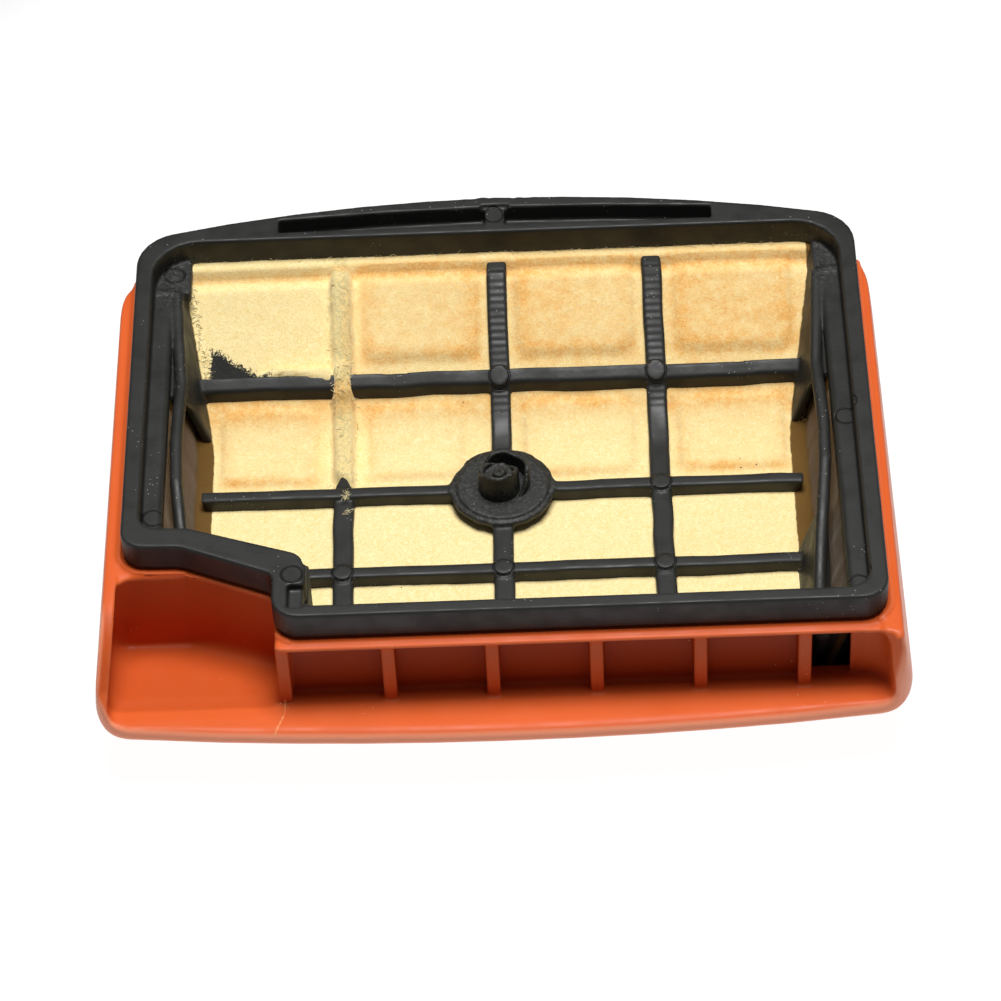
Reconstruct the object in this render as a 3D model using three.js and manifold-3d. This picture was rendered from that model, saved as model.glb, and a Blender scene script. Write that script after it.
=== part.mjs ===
// Air filter housing of a small two-stroke engine, millimetres, +Z up.
//
// It lies on its crowned cover. X runs across the engine, Y runs from the air intake (-Y, "near")
// to the thin end (+Y, "far"). Two assemblies make it up:
//   - the cover: a crowned dish with a vaned air intake and an open pocket in its near end;
//   - the filter insert: a sealing rim that carries a basket of ribs, with felt outside the ribs.
// The insert rests on the cover's top edge and lifts straight out along +Z.

import * as THREE from 'three';
import { mergeVertices } from 'three/addons/utils/BufferGeometryUtils.js';
import Module from 'manifold-3d';

const wasm = await Module();
wasm.setup();

// ---------------------------------------------------------------------------------------------
// Driving dimensions. Y = 0 is an inner datum; the finished group is shifted at the end so that
// its origin is the bottom centre of the whole object.
// ---------------------------------------------------------------------------------------------

const GAP = 0.3; // clearance between neighbouring pieces
const FAR_OUT = 120; // comfortably outside the object, for cutting bodies

const HEIGHT = 34; // resting surface to sealing face
const RIM_HEIGHT = 5.3;
const RIM_BOTTOM = HEIGHT - RIM_HEIGHT;
const SEAT = RIM_BOTTOM - GAP; // top edge of the cover, on which the rim rests

const RIM_HALF = 64.3; // half of the rim's outer width
const RIM_NEAR = -24.6;
const RIM_FAR = 75.2; // crest of the far edge, which is a flat arc
const FAR_EDGE_RADIUS = 265;

const COVER_HALF = 69.35; // half width of the cover at its widest, low on the sides
const COVER_TOP_HALF = 66.9; // half width at the top edge: the sides lean in
const COVER_X = -0.45; // the cover is a little off the rim's centre line
const COVER_WALL = 2.3;
const COVER_FAR = 73.7;
const COVER_FAR_BOTTOM = 26; // the crown has risen to here at the far end
const LIP_TOP = 14;
const LIP_BOTTOM = 11.5;
const LIP_NEAR = -34.3; // crest of the lip's front edge, a flat arc
const LIP_EDGE_RADIUS = 661;

const BACK_WALL = { near: -23.8, far: -22.1 };
const HEADER = { near: -26.7, bottom: 27.3 };
const DUCT = { left: 51.6, right: 58, above: 1.2, below: 1 }; // opening through the back wall
const VANE = { count: 5, first: -19.4, pitch: 17.4, width: 2.3, near: -26.3 };

const LEDGE = { top: 30, bottom: 26.5, width: 4.1, end: 59 };
const FRAME_TOP = LEDGE.bottom - GAP;
const BASKET = { near: -18, far: 65.6, halfFloor: 52.4, sideSlope: 0.306, wall: 1.6 };

const RIB_TOP = 14; // top of the flat part of the rib grid
const RIB_DEPTH = 2.6;
const LONG_RIB = { at: [-28, 0, 28], width: 3.3, drop: 0.8 };
const CROSS_RIB = { at: [-15.5, 3, 22, 44.5], width: 2.4 };
const FELT_THICK = 1.2;

const DISC = { x: 0.1, y: 22, radius: 9.15, thickness: 1.1 };
const STUB = { outer: 3.75, inner: 2.1, height: 6.5 };

// ---------------------------------------------------------------------------------------------
// Materials
// ---------------------------------------------------------------------------------------------

const orangePlastic = () => new THREE.MeshStandardMaterial({ color: 0xd9532b, roughness: 0.42, metalness: 0 });
const blackPlastic = () => new THREE.MeshStandardMaterial({ color: 0x3b3d3c, roughness: 0.5, metalness: 0 });
const yellowFelt = () => new THREE.MeshStandardMaterial({ color: 0xf4dc92, roughness: 0.95, metalness: 0 });

// ---------------------------------------------------------------------------------------------
// Solids
// ---------------------------------------------------------------------------------------------

function solid(geometry) {
  const bare = geometry.clone();
  bare.deleteAttribute('normal');
  bare.deleteAttribute('uv');
  const merged = mergeVertices(bare, 1e-4);
  return new wasm.Manifold(new wasm.Mesh({
    numProp: 3,
    vertProperties: new Float32Array(merged.attributes.position.array),
    triVerts: new Uint32Array(merged.index.array),
  }));
}

function toGeometry(manifold) {
  const mesh = manifold.getMesh();
  const geometry = new THREE.BufferGeometry();
  geometry.setAttribute('position', new THREE.BufferAttribute(new Float32Array(mesh.vertProperties), 3));
  geometry.setIndex(new THREE.BufferAttribute(new Uint32Array(mesh.triVerts), 1));
  geometry.computeVertexNormals();
  return geometry;
}

// Extrudes a shape along its own normal, `depth` long, and lays it into space: `along` gives the
// world directions of the shape's u and v axes and of the extrusion.
function extrude(shape, depth, along, start) {
  const geometry = new THREE.ExtrudeGeometry(shape, { depth, bevelEnabled: false, curveSegments: 8 });
  geometry.applyMatrix4(new THREE.Matrix4().makeBasis(...along));
  geometry.translate(...start);
  return solid(geometry);
}

const X = new THREE.Vector3(1, 0, 0);
const Y = new THREE.Vector3(0, 1, 0);
const Z = new THREE.Vector3(0, 0, 1);
const MINUS_Y = new THREE.Vector3(0, -1, 0);

const prism = (planShape, bottom, top) => extrude(planShape, top - bottom, [X, Y, Z], [0, 0, bottom]);
const alongX = (sideShape, left, right) => extrude(sideShape, right - left, [Y, Z, X], [left, 0, 0]);
const alongY = (frontShape, near, far) => extrude(frontShape, far - near, [X, Z, MINUS_Y], [0, far, 0]);

function box(x0, x1, y0, y1, z0, z1) {
  const geometry = new THREE.BoxGeometry(x1 - x0, y1 - y0, z1 - z0);
  geometry.translate((x0 + x1) / 2, (y0 + y1) / 2, (z0 + z1) / 2);
  return solid(geometry);
}

// ---------------------------------------------------------------------------------------------
// Outlines. A corner is [u, v, radius]; the radius is left out for a sharp one.
// ---------------------------------------------------------------------------------------------

function outline(corners) {
  const shape = new THREE.Shape();
  const count = corners.length;
  corners.forEach(([u, v, radius = 0], i) => {
    const corner = new THREE.Vector2(u, v);
    if (radius === 0) {
      if (i === 0) shape.moveTo(u, v);
      else shape.lineTo(u, v);
      return;
    }
    const before = new THREE.Vector2(...corners[(i + count - 1) % count].slice(0, 2)).sub(corner).normalize();
    const after = new THREE.Vector2(...corners[(i + 1) % count].slice(0, 2)).sub(corner).normalize();
    const reach = radius / Math.tan(Math.acos(before.dot(after)) / 2);
    const enter = corner.clone().addScaledVector(before, reach);
    const leave = corner.clone().addScaledVector(after, reach);
    if (i === 0) shape.moveTo(enter.x, enter.y);
    else shape.lineTo(enter.x, enter.y);
    shape.quadraticCurveTo(u, v, leave.x, leave.y);
  });
  shape.closePath();
  return shape;
}

// Moves every edge of a counter-clockwise outline inwards by `distance`.
function inset(corners, distance) {
  const count = corners.length;
  return corners.map(([u, v, radius = 0], i) => {
    const [u0, v0] = corners[(i + count - 1) % count];
    const [u1, v1] = corners[(i + 1) % count];
    const into = new THREE.Vector2(u - u0, v - v0).normalize();
    const out = new THREE.Vector2(u1 - u, v1 - v).normalize();
    const normalIn = new THREE.Vector2(-into.y, into.x);
    const normalOut = new THREE.Vector2(-out.y, out.x);
    const mitre = normalIn.clone().add(normalOut);
    const scale = distance / (mitre.dot(normalIn));
    const convex = into.x * out.y - into.y * out.x > 0;
    const rounded = radius === 0 ? 0 : Math.max(0.3, radius + (convex ? -distance : distance));
    return [u + mitre.x * scale, v + mitre.y * scale, rounded];
  });
}

const flatArc = (crest, radius) => (x) => crest - (x * x) / (2 * radius);
const rimFarEdge = flatArc(RIM_FAR, FAR_EDGE_RADIUS);
const coverFarEdge = flatArc(COVER_FAR, FAR_EDGE_RADIUS);
const lipEdge = flatArc(LIP_NEAR, -LIP_EDGE_RADIUS);

const ARC_STATIONS = [45, 30, 15, 0, -15, -30, -45];

const rimOuter = [
  [-RIM_HALF, -7.6, 4],
  [-54.2, -8, 3],
  [-38.4, -14.8, 2],
  [-38.4, RIM_NEAR, 4.5],
  [RIM_HALF, RIM_NEAR, 4.5],
  [RIM_HALF, rimFarEdge(RIM_HALF), 8],
  ...ARC_STATIONS.map((x) => [x, rimFarEdge(x)]),
  [-RIM_HALF, rimFarEdge(RIM_HALF), 8],
];

// The clear inside of the rim: its bands are wider beside the notch in the near left corner.
const RIM_INSIDE_HALF = 61.3;
const RIM_INSIDE_NEAR = -22;
const rimInner = [
  [-RIM_INSIDE_HALF, -3.2, 3],
  [-52.9, -3.6, 3],
  [-33.2, -10.6, 3],
  [-33.2, RIM_INSIDE_NEAR, 2],
  [RIM_INSIDE_HALF, RIM_INSIDE_NEAR, 4],
  [RIM_INSIDE_HALF, 66.2, 9],
  [-RIM_INSIDE_HALF, 66.2, 9],
];

// ---------------------------------------------------------------------------------------------
// Cover
// ---------------------------------------------------------------------------------------------

// The crowned bottom seen from the front, as half widths and heights: a flat middle, a gentle
// crown, and a turn up into the side wall.
const CROWN = { flat: 20, soft: [[40, 0], [54, 1]], turn: [62, 3.6], tight: [[66, 5], [COVER_HALF, 8]] };

// The cover's silhouettes; `wall` moves each inwards, for the hollow inside.
function coverFront(wall) {
  const [soft1, soft2] = CROWN.soft.map(([half, z]) => [half, z + wall]);
  const [turn, tight1, tight2] = [CROWN.turn, ...CROWN.tight].map(([half, z]) => [half - wall, z + wall]);
  const low = COVER_HALF - wall;
  const top = wall > 0 ? FAR_OUT : SEAT;
  const lean = (COVER_HALF - COVER_TOP_HALF) / (SEAT - LIP_TOP);
  const high = low - lean * (top - LIP_TOP);
  const right = (half) => COVER_X + half;
  const left = (half) => COVER_X - half;
  const shape = new THREE.Shape();
  shape.moveTo(left(CROWN.flat), wall);
  shape.lineTo(right(CROWN.flat), wall);
  shape.bezierCurveTo(right(soft1[0]), soft1[1], right(soft2[0]), soft2[1], right(turn[0]), turn[1]);
  shape.bezierCurveTo(right(tight1[0]), tight1[1], right(tight2[0]), tight2[1], right(low), LIP_TOP);
  shape.lineTo(right(high), top);
  shape.lineTo(left(high), top);
  shape.lineTo(left(low), LIP_TOP);
  shape.bezierCurveTo(left(tight2[0]), tight2[1], left(tight1[0]), tight1[1], left(turn[0]), turn[1]);
  shape.bezierCurveTo(left(soft2[0]), soft2[1], left(soft1[0]), soft1[1], left(CROWN.flat), wall);
  return shape;
}

// The bottom seen from the side: a brow under the lip, the flat crown, and the rise to the far end.
const SLANT = { top: -26.9, low: -31 }; // the front slants from the seat down to the lip

function coverSide(wall) {
  const top = wall > 0 ? FAR_OUT : SEAT;
  const shape = new THREE.Shape();
  shape.moveTo(-FAR_OUT, LIP_BOTTOM + wall);
  shape.lineTo(-31, LIP_BOTTOM + wall);
  shape.bezierCurveTo(-20, LIP_BOTTOM - 0.8 + wall, -17, wall, 3, wall);
  shape.lineTo(20, wall);
  shape.bezierCurveTo(45, wall, 60, 14 + wall, COVER_FAR, COVER_FAR_BOTTOM + wall);
  shape.lineTo(FAR_OUT, COVER_FAR_BOTTOM + wall);
  shape.lineTo(FAR_OUT, top);
  if (wall === 0) {
    shape.lineTo(SLANT.top, SEAT);
    shape.lineTo(SLANT.low, LIP_TOP);
    shape.lineTo(-FAR_OUT, LIP_TOP);
  } else {
    shape.lineTo(-FAR_OUT, top);
  }
  shape.closePath();
  return shape;
}

const coverPlan = [
  [-COVER_HALF, -30.6, 7],
  ...[...ARC_STATIONS].reverse().map((x) => [x, lipEdge(x)]),
  [COVER_HALF, -30.6, 7],
  [COVER_HALF - 1.4, coverFarEdge(COVER_HALF), 16],
  ...ARC_STATIONS.map((x) => [x, coverFarEdge(x)]),
  [1.4 - COVER_HALF, coverFarEdge(COVER_HALF), 16],
].map(([x, y, radius]) => [x + COVER_X, y, radius]);

const hollowPlan = [
  [-COVER_HALF, -FAR_OUT],
  [COVER_HALF, -FAR_OUT],
  [COVER_HALF - 1.4, coverFarEdge(COVER_HALF), 16],
  ...ARC_STATIONS.map((x) => [x, coverFarEdge(x)]),
  [1.4 - COVER_HALF, coverFarEdge(COVER_HALF), 16],
].map(([x, y, radius]) => [x + COVER_X, y, radius]);

// The room inside walls of the given thickness.
function coverHollow(wall) {
  return prism(outline(inset(hollowPlan, wall)), 0, FAR_OUT)
    .intersect(alongY(coverFront(wall), -FAR_OUT, FAR_OUT))
    .intersect(alongX(coverSide(wall), -FAR_OUT, FAR_OUT));
}

// The pocket's wall starts at the cover's left side, follows the rim's notch and ends as the left
// cheek of the vane bays.
const CHEEK = { left: -38.2, right: -36 };
const pocketFace = [[-53.6, -8.5], [-38.2, -15.4]];
const pocketBack = [[CHEEK.right, -13.4], [-53.1, -6.3], [-FAR_OUT, -6.3]];
const POCKET_DEEP = { start: -29, y: -8.5, z: 10 }; // the pocket's floor slopes down from start

function pocketVoid() {
  const wedge = outline([
    [POCKET_DEEP.y, POCKET_DEEP.z],
    [POCKET_DEEP.y, FAR_OUT],
    [-FAR_OUT, FAR_OUT],
    [-FAR_OUT, LIP_TOP],
    [POCKET_DEEP.start, LIP_TOP],
  ]);
  const plan = outline([
    [-FAR_OUT, -FAR_OUT],
    [CHEEK.left, -FAR_OUT],
    pocketFace[1],
    pocketFace[0],
    [-FAR_OUT, pocketFace[0][1]],
  ]);
  return alongX(wedge, -FAR_OUT, FAR_OUT).intersect(prism(plan, 0, FAR_OUT));
}

// The left wall's top edge slopes down from the rim's corner to the lip.
const LEFT_SHOULDER = { farTop: -19, farLow: -30.8, right: -50 };

function coverShell() {
  const outer = prism(outline(coverPlan), 0, HEIGHT)
    .intersect(alongY(coverFront(0), -FAR_OUT, FAR_OUT))
    .intersect(alongX(coverSide(0), -FAR_OUT, FAR_OUT));
  const intakePlan = outline([
    [-FAR_OUT, -FAR_OUT],
    [FAR_OUT, -FAR_OUT],
    [FAR_OUT, BACK_WALL.far],
    [CHEEK.right, BACK_WALL.far],
    ...pocketBack,
  ]);
  const intakeFloor = prism(intakePlan, -1, LIP_TOP).subtract(pocketVoid());
  const hollow = coverHollow(COVER_WALL).subtract(intakeFloor);
  const { farTop, farLow, right } = LEFT_SHOULDER;
  const slope = outline([
    [farTop, FAR_OUT],
    [farTop, SEAT],
    [farLow, LIP_TOP],
    [-FAR_OUT, LIP_TOP],
    [-FAR_OUT, FAR_OUT],
  ]);
  return outer.subtract(hollow).subtract(alongX(slope, -FAR_OUT, right));
}

function pocketWall() {
  const plan = outline([
    [-FAR_OUT, pocketFace[0][1]],
    pocketFace[0],
    pocketFace[1],
    [CHEEK.left, VANE.near],
    [CHEEK.right, VANE.near],
    ...pocketBack,
  ]);
  return prism(plan, LIP_TOP + GAP, SEAT).intersect(coverHollow(COVER_WALL + GAP));
}

function backWall() {
  const wall = box(CHEEK.right + GAP, FAR_OUT, BACK_WALL.near, BACK_WALL.far, LIP_TOP + GAP, HEADER.bottom - GAP);
  const duct = box(DUCT.left, DUCT.right, -FAR_OUT, FAR_OUT, LIP_TOP + DUCT.above, HEADER.bottom - DUCT.below);
  return wall.subtract(duct).intersect(coverHollow(COVER_WALL + GAP));
}

function headerBar() {
  const bar = box(CHEEK.right + GAP, FAR_OUT, HEADER.near, BACK_WALL.far, HEADER.bottom, SEAT);
  return bar.intersect(coverHollow(COVER_WALL + GAP));
}

function vane(index) {
  const x = VANE.first + VANE.pitch * index;
  const section = outline([
    [x - VANE.width / 2, VANE.near, 0.8],
    [x + VANE.width / 2, VANE.near, 0.8],
    [x + VANE.width / 2, BACK_WALL.near - GAP],
    [x - VANE.width / 2, BACK_WALL.near - GAP],
  ]);
  return prism(section, LIP_TOP + GAP, HEADER.bottom - GAP);
}

// The concave corner between the back wall and the cover's right side.
const CHEEK_CURVE = { control: [64.4, -24.1], end: [65.4, -28.2] };

function intakeCheek() {
  const shape = new THREE.Shape();
  shape.moveTo(DUCT.right + 1, BACK_WALL.near - GAP);
  shape.quadraticCurveTo(...CHEEK_CURVE.control, ...CHEEK_CURVE.end);
  shape.lineTo(FAR_OUT, CHEEK_CURVE.end[1]);
  shape.lineTo(FAR_OUT, BACK_WALL.near - GAP);
  shape.closePath();
  return prism(shape, LIP_TOP + GAP, HEADER.bottom - GAP).intersect(coverHollow(COVER_WALL + GAP));
}

// ---------------------------------------------------------------------------------------------
// Filter insert
// ---------------------------------------------------------------------------------------------

// Height of the rib grid's top face: flat, then a bend, a ramp, and a short level end.
const BEND = { start: 31, end: 41, ramp: 61, slope: 0.6 };
function ribTop(y) {
  const bend = BEND.end - BEND.start;
  if (y <= BEND.start) return RIB_TOP;
  if (y <= BEND.end) return RIB_TOP + (BEND.slope * (y - BEND.start) ** 2) / (2 * bend);
  return RIB_TOP + (BEND.slope * bend) / 2 + BEND.slope * (Math.min(y, BEND.ramp) - BEND.end);
}

// Where the grid's profile is sampled: along the bend, and where the ramp levels out.
const BEND_STATIONS = [31, 33.5, 36, 38.5, 41, BEND.ramp];

// A band that follows the grid, from `lower` to `upper` measured from its top face.
function band(near, far, lower, upper) {
  const stations = [near];
  for (const y of BEND_STATIONS) {
    if (y > near && y < far) stations.push(y);
  }
  stations.push(far);
  const bottom = stations.map((y) => [y, ribTop(y) + lower]);
  const top = stations.map((y) => [y, ribTop(y) + upper]).reverse();
  return outline([...bottom, ...top]);
}

const sideLine = (z) => BASKET.halfFloor + BASKET.sideSlope * (z - RIB_TOP);

// The room between the basket's leaning sides, less `clearance` on each side.
function basketRoom(clearance) {
  const low = sideLine(0) - clearance;
  const high = sideLine(HEIGHT) - clearance;
  return alongY(outline([[-low, 0], [low, 0], [high, HEIGHT], [-high, HEIGHT]]), -FAR_OUT, FAR_OUT);
}

// The two long slots in the far side of the rim, on either side of a bridge.
const SLOT = { bridgeHalf: 1.75, end: 39, near: 68.1, farAtEnd: 71.1, farAtBridge: 72.65, skin: 1 };

function sealRim() {
  let rim = prism(outline(rimOuter), RIM_BOTTOM, HEIGHT).subtract(prism(outline(rimInner), 0, FAR_OUT));
  for (const side of [-1, 1]) {
    const corners = [
      [side * SLOT.bridgeHalf, SLOT.near],
      [side * SLOT.end, SLOT.near],
      [side * SLOT.end, SLOT.farAtEnd],
      [side * SLOT.bridgeHalf, SLOT.farAtBridge],
    ];
    const slot = outline(side > 0 ? corners : corners.reverse());
    rim = rim.subtract(prism(slot, RIM_BOTTOM + SLOT.skin, FAR_OUT));
  }
  return rim;
}

// A shelf round three sides, just inside the rim.
function innerLedge() {
  const outer = inset(rimInner, GAP);
  const inner = inset(rimInner, LEDGE.width);
  const open = inner.map(([x, y, radius], i) => (i < 5 ? [x, y, radius] : [x, FAR_OUT]));
  return prism(outline(outer), LEDGE.bottom, LEDGE.top)
    .subtract(prism(outline(open), 0, FAR_OUT))
    .subtract(box(-FAR_OUT, FAR_OUT, LEDGE.end, FAR_OUT, 0, FAR_OUT));
}

// A leaning side of the basket, as a frame with windows. side is -1 left, 1 right. The left side
// is shorter, because of the notch.
const SIDE = { leftNear: -1.5, far: 57.5, rail: 1.4, sill: RIB_TOP + 0.4, farSill: [20.5, 23.6] };

function sideFrame(side) {
  const near = side < 0 ? SIDE.leftNear : BASKET.near + GAP;
  const low = [sideLine(0), 0];
  const high = [sideLine(HEIGHT), HEIGHT];
  const slab = outline([low, [low[0] + BASKET.wall, 0], [high[0] + BASKET.wall, HEIGHT], high]
    .map(([x, z]) => [side * x, z]));
  const bendMiddle = (BEND.start + BEND.end) / 2;
  const silhouette = outline([
    [near, RIB_TOP - RIB_DEPTH],
    [BEND.start, RIB_TOP - RIB_DEPTH],
    [bendMiddle, ribTop(bendMiddle) - RIB_DEPTH],
    [BEND.end, ribTop(BEND.end) - RIB_DEPTH],
    [SIDE.far, ribTop(SIDE.far) - RIB_DEPTH],
    [SIDE.far, FRAME_TOP],
    [near, FRAME_TOP],
  ]);
  const post = CROSS_RIB.width / 2;
  const [rowD, rowC, rowB, rowA] = CROSS_RIB.at;
  const first = side < 0 ? near + SIDE.rail : rowD + post;
  const head = FRAME_TOP - SIDE.rail;
  const [lowSill, highSill] = SIDE.farSill;
  const windows = [
    [[first, SIDE.sill], [rowC - post, SIDE.sill], [rowC - post, head], [first, head]],
    [[rowC + post, SIDE.sill], [rowB - post, SIDE.sill], [rowB - post, head], [rowC + post, head]],
    [[rowB + post, lowSill], [rowA - post, highSill], [rowA - post, head], [rowB + post, head]],
  ];
  let frame = alongY(slab, -FAR_OUT, FAR_OUT).intersect(alongX(silhouette, -FAR_OUT, FAR_OUT));
  for (const window of windows) frame = frame.subtract(alongX(outline(window), -FAR_OUT, FAR_OUT));
  return frame;
}

// The slender bar that divides the windows, bowed and pointed at its far end.
const BAR = {
  leftNear: -0.5,
  far: 42,
  depth: 1.3,
  nearZ: [20.6, 23.6],
  farZ: [25.4, 25.8],
  bow: [[12, 23.6], [8, 26]],
};

function sideBar(side) {
  const near = side < 0 ? BAR.leftNear : BASKET.near + 2 * GAP;
  const shape = new THREE.Shape();
  shape.moveTo(near, BAR.nearZ[0]);
  shape.quadraticCurveTo(...BAR.bow[0], BAR.far, BAR.farZ[0]);
  shape.lineTo(BAR.far, BAR.farZ[1]);
  shape.quadraticCurveTo(...BAR.bow[1], near, BAR.nearZ[1]);
  shape.closePath();
  const low = sideLine(0) - GAP;
  const high = sideLine(HEIGHT) - GAP;
  const slab = outline([[low - BAR.depth, 0], [low, 0], [high, HEIGHT], [high - BAR.depth, HEIGHT]]
    .map(([x, z]) => [side * x, z]));
  return alongY(slab, -FAR_OUT, FAR_OUT).intersect(alongX(shape, -FAR_OUT, FAR_OUT));
}

// The basket's near end: a wall along the intake, and one that steps round the notch.
const NOTCH_IN = { left: -51.6, cornerX: -31.5, leftY: 0.2, cornerY: -7.2 };
const NEAR_WALL_RIGHT = 57.2;
const WALL_THIN = 1.4;
const WALL_BOTTOM = RIB_TOP - RIB_DEPTH;

function nearWall() {
  const far = BASKET.near;
  return box(NOTCH_IN.cornerX + GAP, NEAR_WALL_RIGHT, far - WALL_THIN, far, WALL_BOTTOM, FRAME_TOP);
}

function notchWall() {
  const t = WALL_THIN;
  const plan = outline([
    [NOTCH_IN.left, NOTCH_IN.leftY],
    [NOTCH_IN.left, NOTCH_IN.leftY - t],
    [NOTCH_IN.cornerX - t, NOTCH_IN.cornerY - t],
    [NOTCH_IN.cornerX - t, BASKET.near - t],
    [NOTCH_IN.cornerX, BASKET.near - t],
    [NOTCH_IN.cornerX, NOTCH_IN.cornerY],
  ]);
  return prism(plan, WALL_BOTTOM, FRAME_TOP);
}

const longRibSide = (grow) => band(
  BASKET.near + GAP - grow,
  BASKET.far + grow,
  -RIB_DEPTH - grow,
  grow - LONG_RIB.drop,
);

function longRib(x) {
  return alongX(longRibSide(0), x - LONG_RIB.width / 2, x + LONG_RIB.width / 2);
}

// A cross rib stands on the long ribs' level, and bridges over them.
function crossRib(y) {
  const half = CROSS_RIB.width / 2;
  const left = y < NOTCH_IN.cornerY ? NOTCH_IN.cornerX + GAP : -FAR_OUT;
  let rib = alongX(band(y - half, y + half, -RIB_DEPTH, 0), left, FAR_OUT).intersect(basketRoom(GAP));
  for (const x of LONG_RIB.at) {
    const reach = LONG_RIB.width / 2 + GAP;
    rib = rib.subtract(alongX(longRibSide(GAP), x - reach, x + reach));
  }
  return rib;
}

function centreDisc() {
  const disc = new THREE.CylinderGeometry(DISC.radius, DISC.radius, DISC.thickness, 40);
  disc.rotateX(Math.PI / 2);
  disc.translate(DISC.x, DISC.y, RIB_TOP + GAP + DISC.thickness / 2);
  return solid(disc);
}

// The hollow stub on the disc, closed at its foot and broken off at a slant.
function stub() {
  const foot = RIB_TOP + DISC.thickness + 2 * GAP;
  const profile = [
    [0, 0],
    [STUB.outer, 0],
    [STUB.outer, STUB.height],
    [STUB.inner, STUB.height],
    [STUB.inner, 1],
    [0, 1],
  ].map(([r, z]) => new THREE.Vector2(r, z));
  const tube = new THREE.LatheGeometry(profile, 28);
  tube.rotateX(Math.PI / 2);
  tube.translate(DISC.x, DISC.y, foot);
  const low = foot + 0.55 * STUB.height;
  const breakLine = outline([
    [DISC.y - STUB.outer, low],
    [DISC.y + STUB.outer, foot + STUB.height],
    [DISC.y + STUB.outer, FAR_OUT],
    [DISC.y - STUB.outer, FAR_OUT],
  ]);
  return solid(tube).subtract(alongX(breakLine, -FAR_OUT, FAR_OUT));
}

// ---------------------------------------------------------------------------------------------
// Felt, moulded to the outside of the ribs
// ---------------------------------------------------------------------------------------------

const FELT_TOP = -RIB_DEPTH - GAP; // measured from the ribs' top
const FELT = {
  half: 52,
  nearOverhang: 2,
  sideFar: 56,
  sideBelow: 3,
  leftNear: -0.5,
  nearThick: 0.9,
  nearRight: 51,
};

function feltFloor() {
  const lower = FELT_TOP - FELT_THICK;
  const sheet = alongX(band(BASKET.near - FELT.nearOverhang, BASKET.far, lower, FELT_TOP), -FELT.half, FELT.half);
  const margin = FELT.nearOverhang;
  const notch = outline([
    [-FAR_OUT, NOTCH_IN.leftY - margin],
    [-FAR_OUT, -FAR_OUT],
    [NOTCH_IN.cornerX - margin, -FAR_OUT],
    [NOTCH_IN.cornerX - margin, NOTCH_IN.cornerY - margin],
    [NOTCH_IN.left, NOTCH_IN.leftY - margin],
  ]);
  return sheet.subtract(prism(notch, 0, FAR_OUT));
}

function feltSide(side) {
  const near = side < 0 ? FELT.leftNear : BASKET.near;
  const inner = BASKET.wall + GAP;
  const outer = inner + FELT_THICK;
  const low = sideLine(0);
  const high = sideLine(HEIGHT);
  const slab = outline([[low + inner, 0], [low + outer, 0], [high + outer, HEIGHT], [high + inner, HEIGHT]]
    .map(([x, z]) => [side * x, z]));
  const bottom = (y) => ribTop(y) - FELT.sideBelow;
  const silhouette = outline([
    [near, bottom(near)],
    [BEND.start, bottom(BEND.start)],
    [BEND.end, bottom(BEND.end)],
    [FELT.sideFar, bottom(FELT.sideFar)],
    [FELT.sideFar, FRAME_TOP],
    [near, FRAME_TOP],
  ]);
  return alongY(slab, -FAR_OUT, FAR_OUT).intersect(alongX(silhouette, -FAR_OUT, FAR_OUT));
}

function feltNear() {
  const far = BASKET.near - WALL_THIN - GAP;
  return box(NOTCH_IN.cornerX + 1, FELT.nearRight, far - FELT.nearThick, far, WALL_BOTTOM, FRAME_TOP);
}

// ---------------------------------------------------------------------------------------------
// Assembly
// ---------------------------------------------------------------------------------------------

const assembly = new THREE.Group();

function add(name, body, material) {
  const mesh = new THREE.Mesh(toGeometry(body), material);
  mesh.name = name;
  assembly.add(mesh);
}

add('housing_shell', coverShell(), orangePlastic());
add('pocket_wall', pocketWall(), orangePlastic());
add('intake_back_wall', backWall(), orangePlastic());
add('intake_header_bar', headerBar(), orangePlastic());
add('intake_cheek', intakeCheek(), orangePlastic());
for (let i = 0; i < VANE.count; i += 1) add(`intake_vane_${i + 1}`, vane(i), orangePlastic());

add('seal_rim', sealRim(), blackPlastic());
add('inner_ledge', innerLedge(), blackPlastic());
add('side_frame_left', sideFrame(-1), blackPlastic());
add('side_frame_right', sideFrame(1), blackPlastic());
add('side_bar_left', sideBar(-1), blackPlastic());
add('side_bar_right', sideBar(1), blackPlastic());
add('near_wall', nearWall(), blackPlastic());
add('notch_wall', notchWall(), blackPlastic());
LONG_RIB.at.forEach((x, i) => add(`long_rib_${i + 1}`, longRib(x), blackPlastic()));
CROSS_RIB.at.forEach((y, i) => add(`cross_rib_${i + 1}`, crossRib(y), blackPlastic()));
add('centre_disc', centreDisc(), blackPlastic());
add('boss_stub', stub(), blackPlastic());

add('felt_floor', feltFloor(), yellowFelt());
add('felt_side_left', feltSide(-1), yellowFelt());
add('felt_side_right', feltSide(1), yellowFelt());
add('felt_near', feltNear(), yellowFelt());

assembly.position.set(-COVER_X, -(LIP_NEAR + RIM_FAR) / 2, 0);

const part = new THREE.Group();
part.add(assembly);

export default part;
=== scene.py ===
import math

import bpy
import numpy as np
from mathutils import Matrix, Vector


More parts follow.
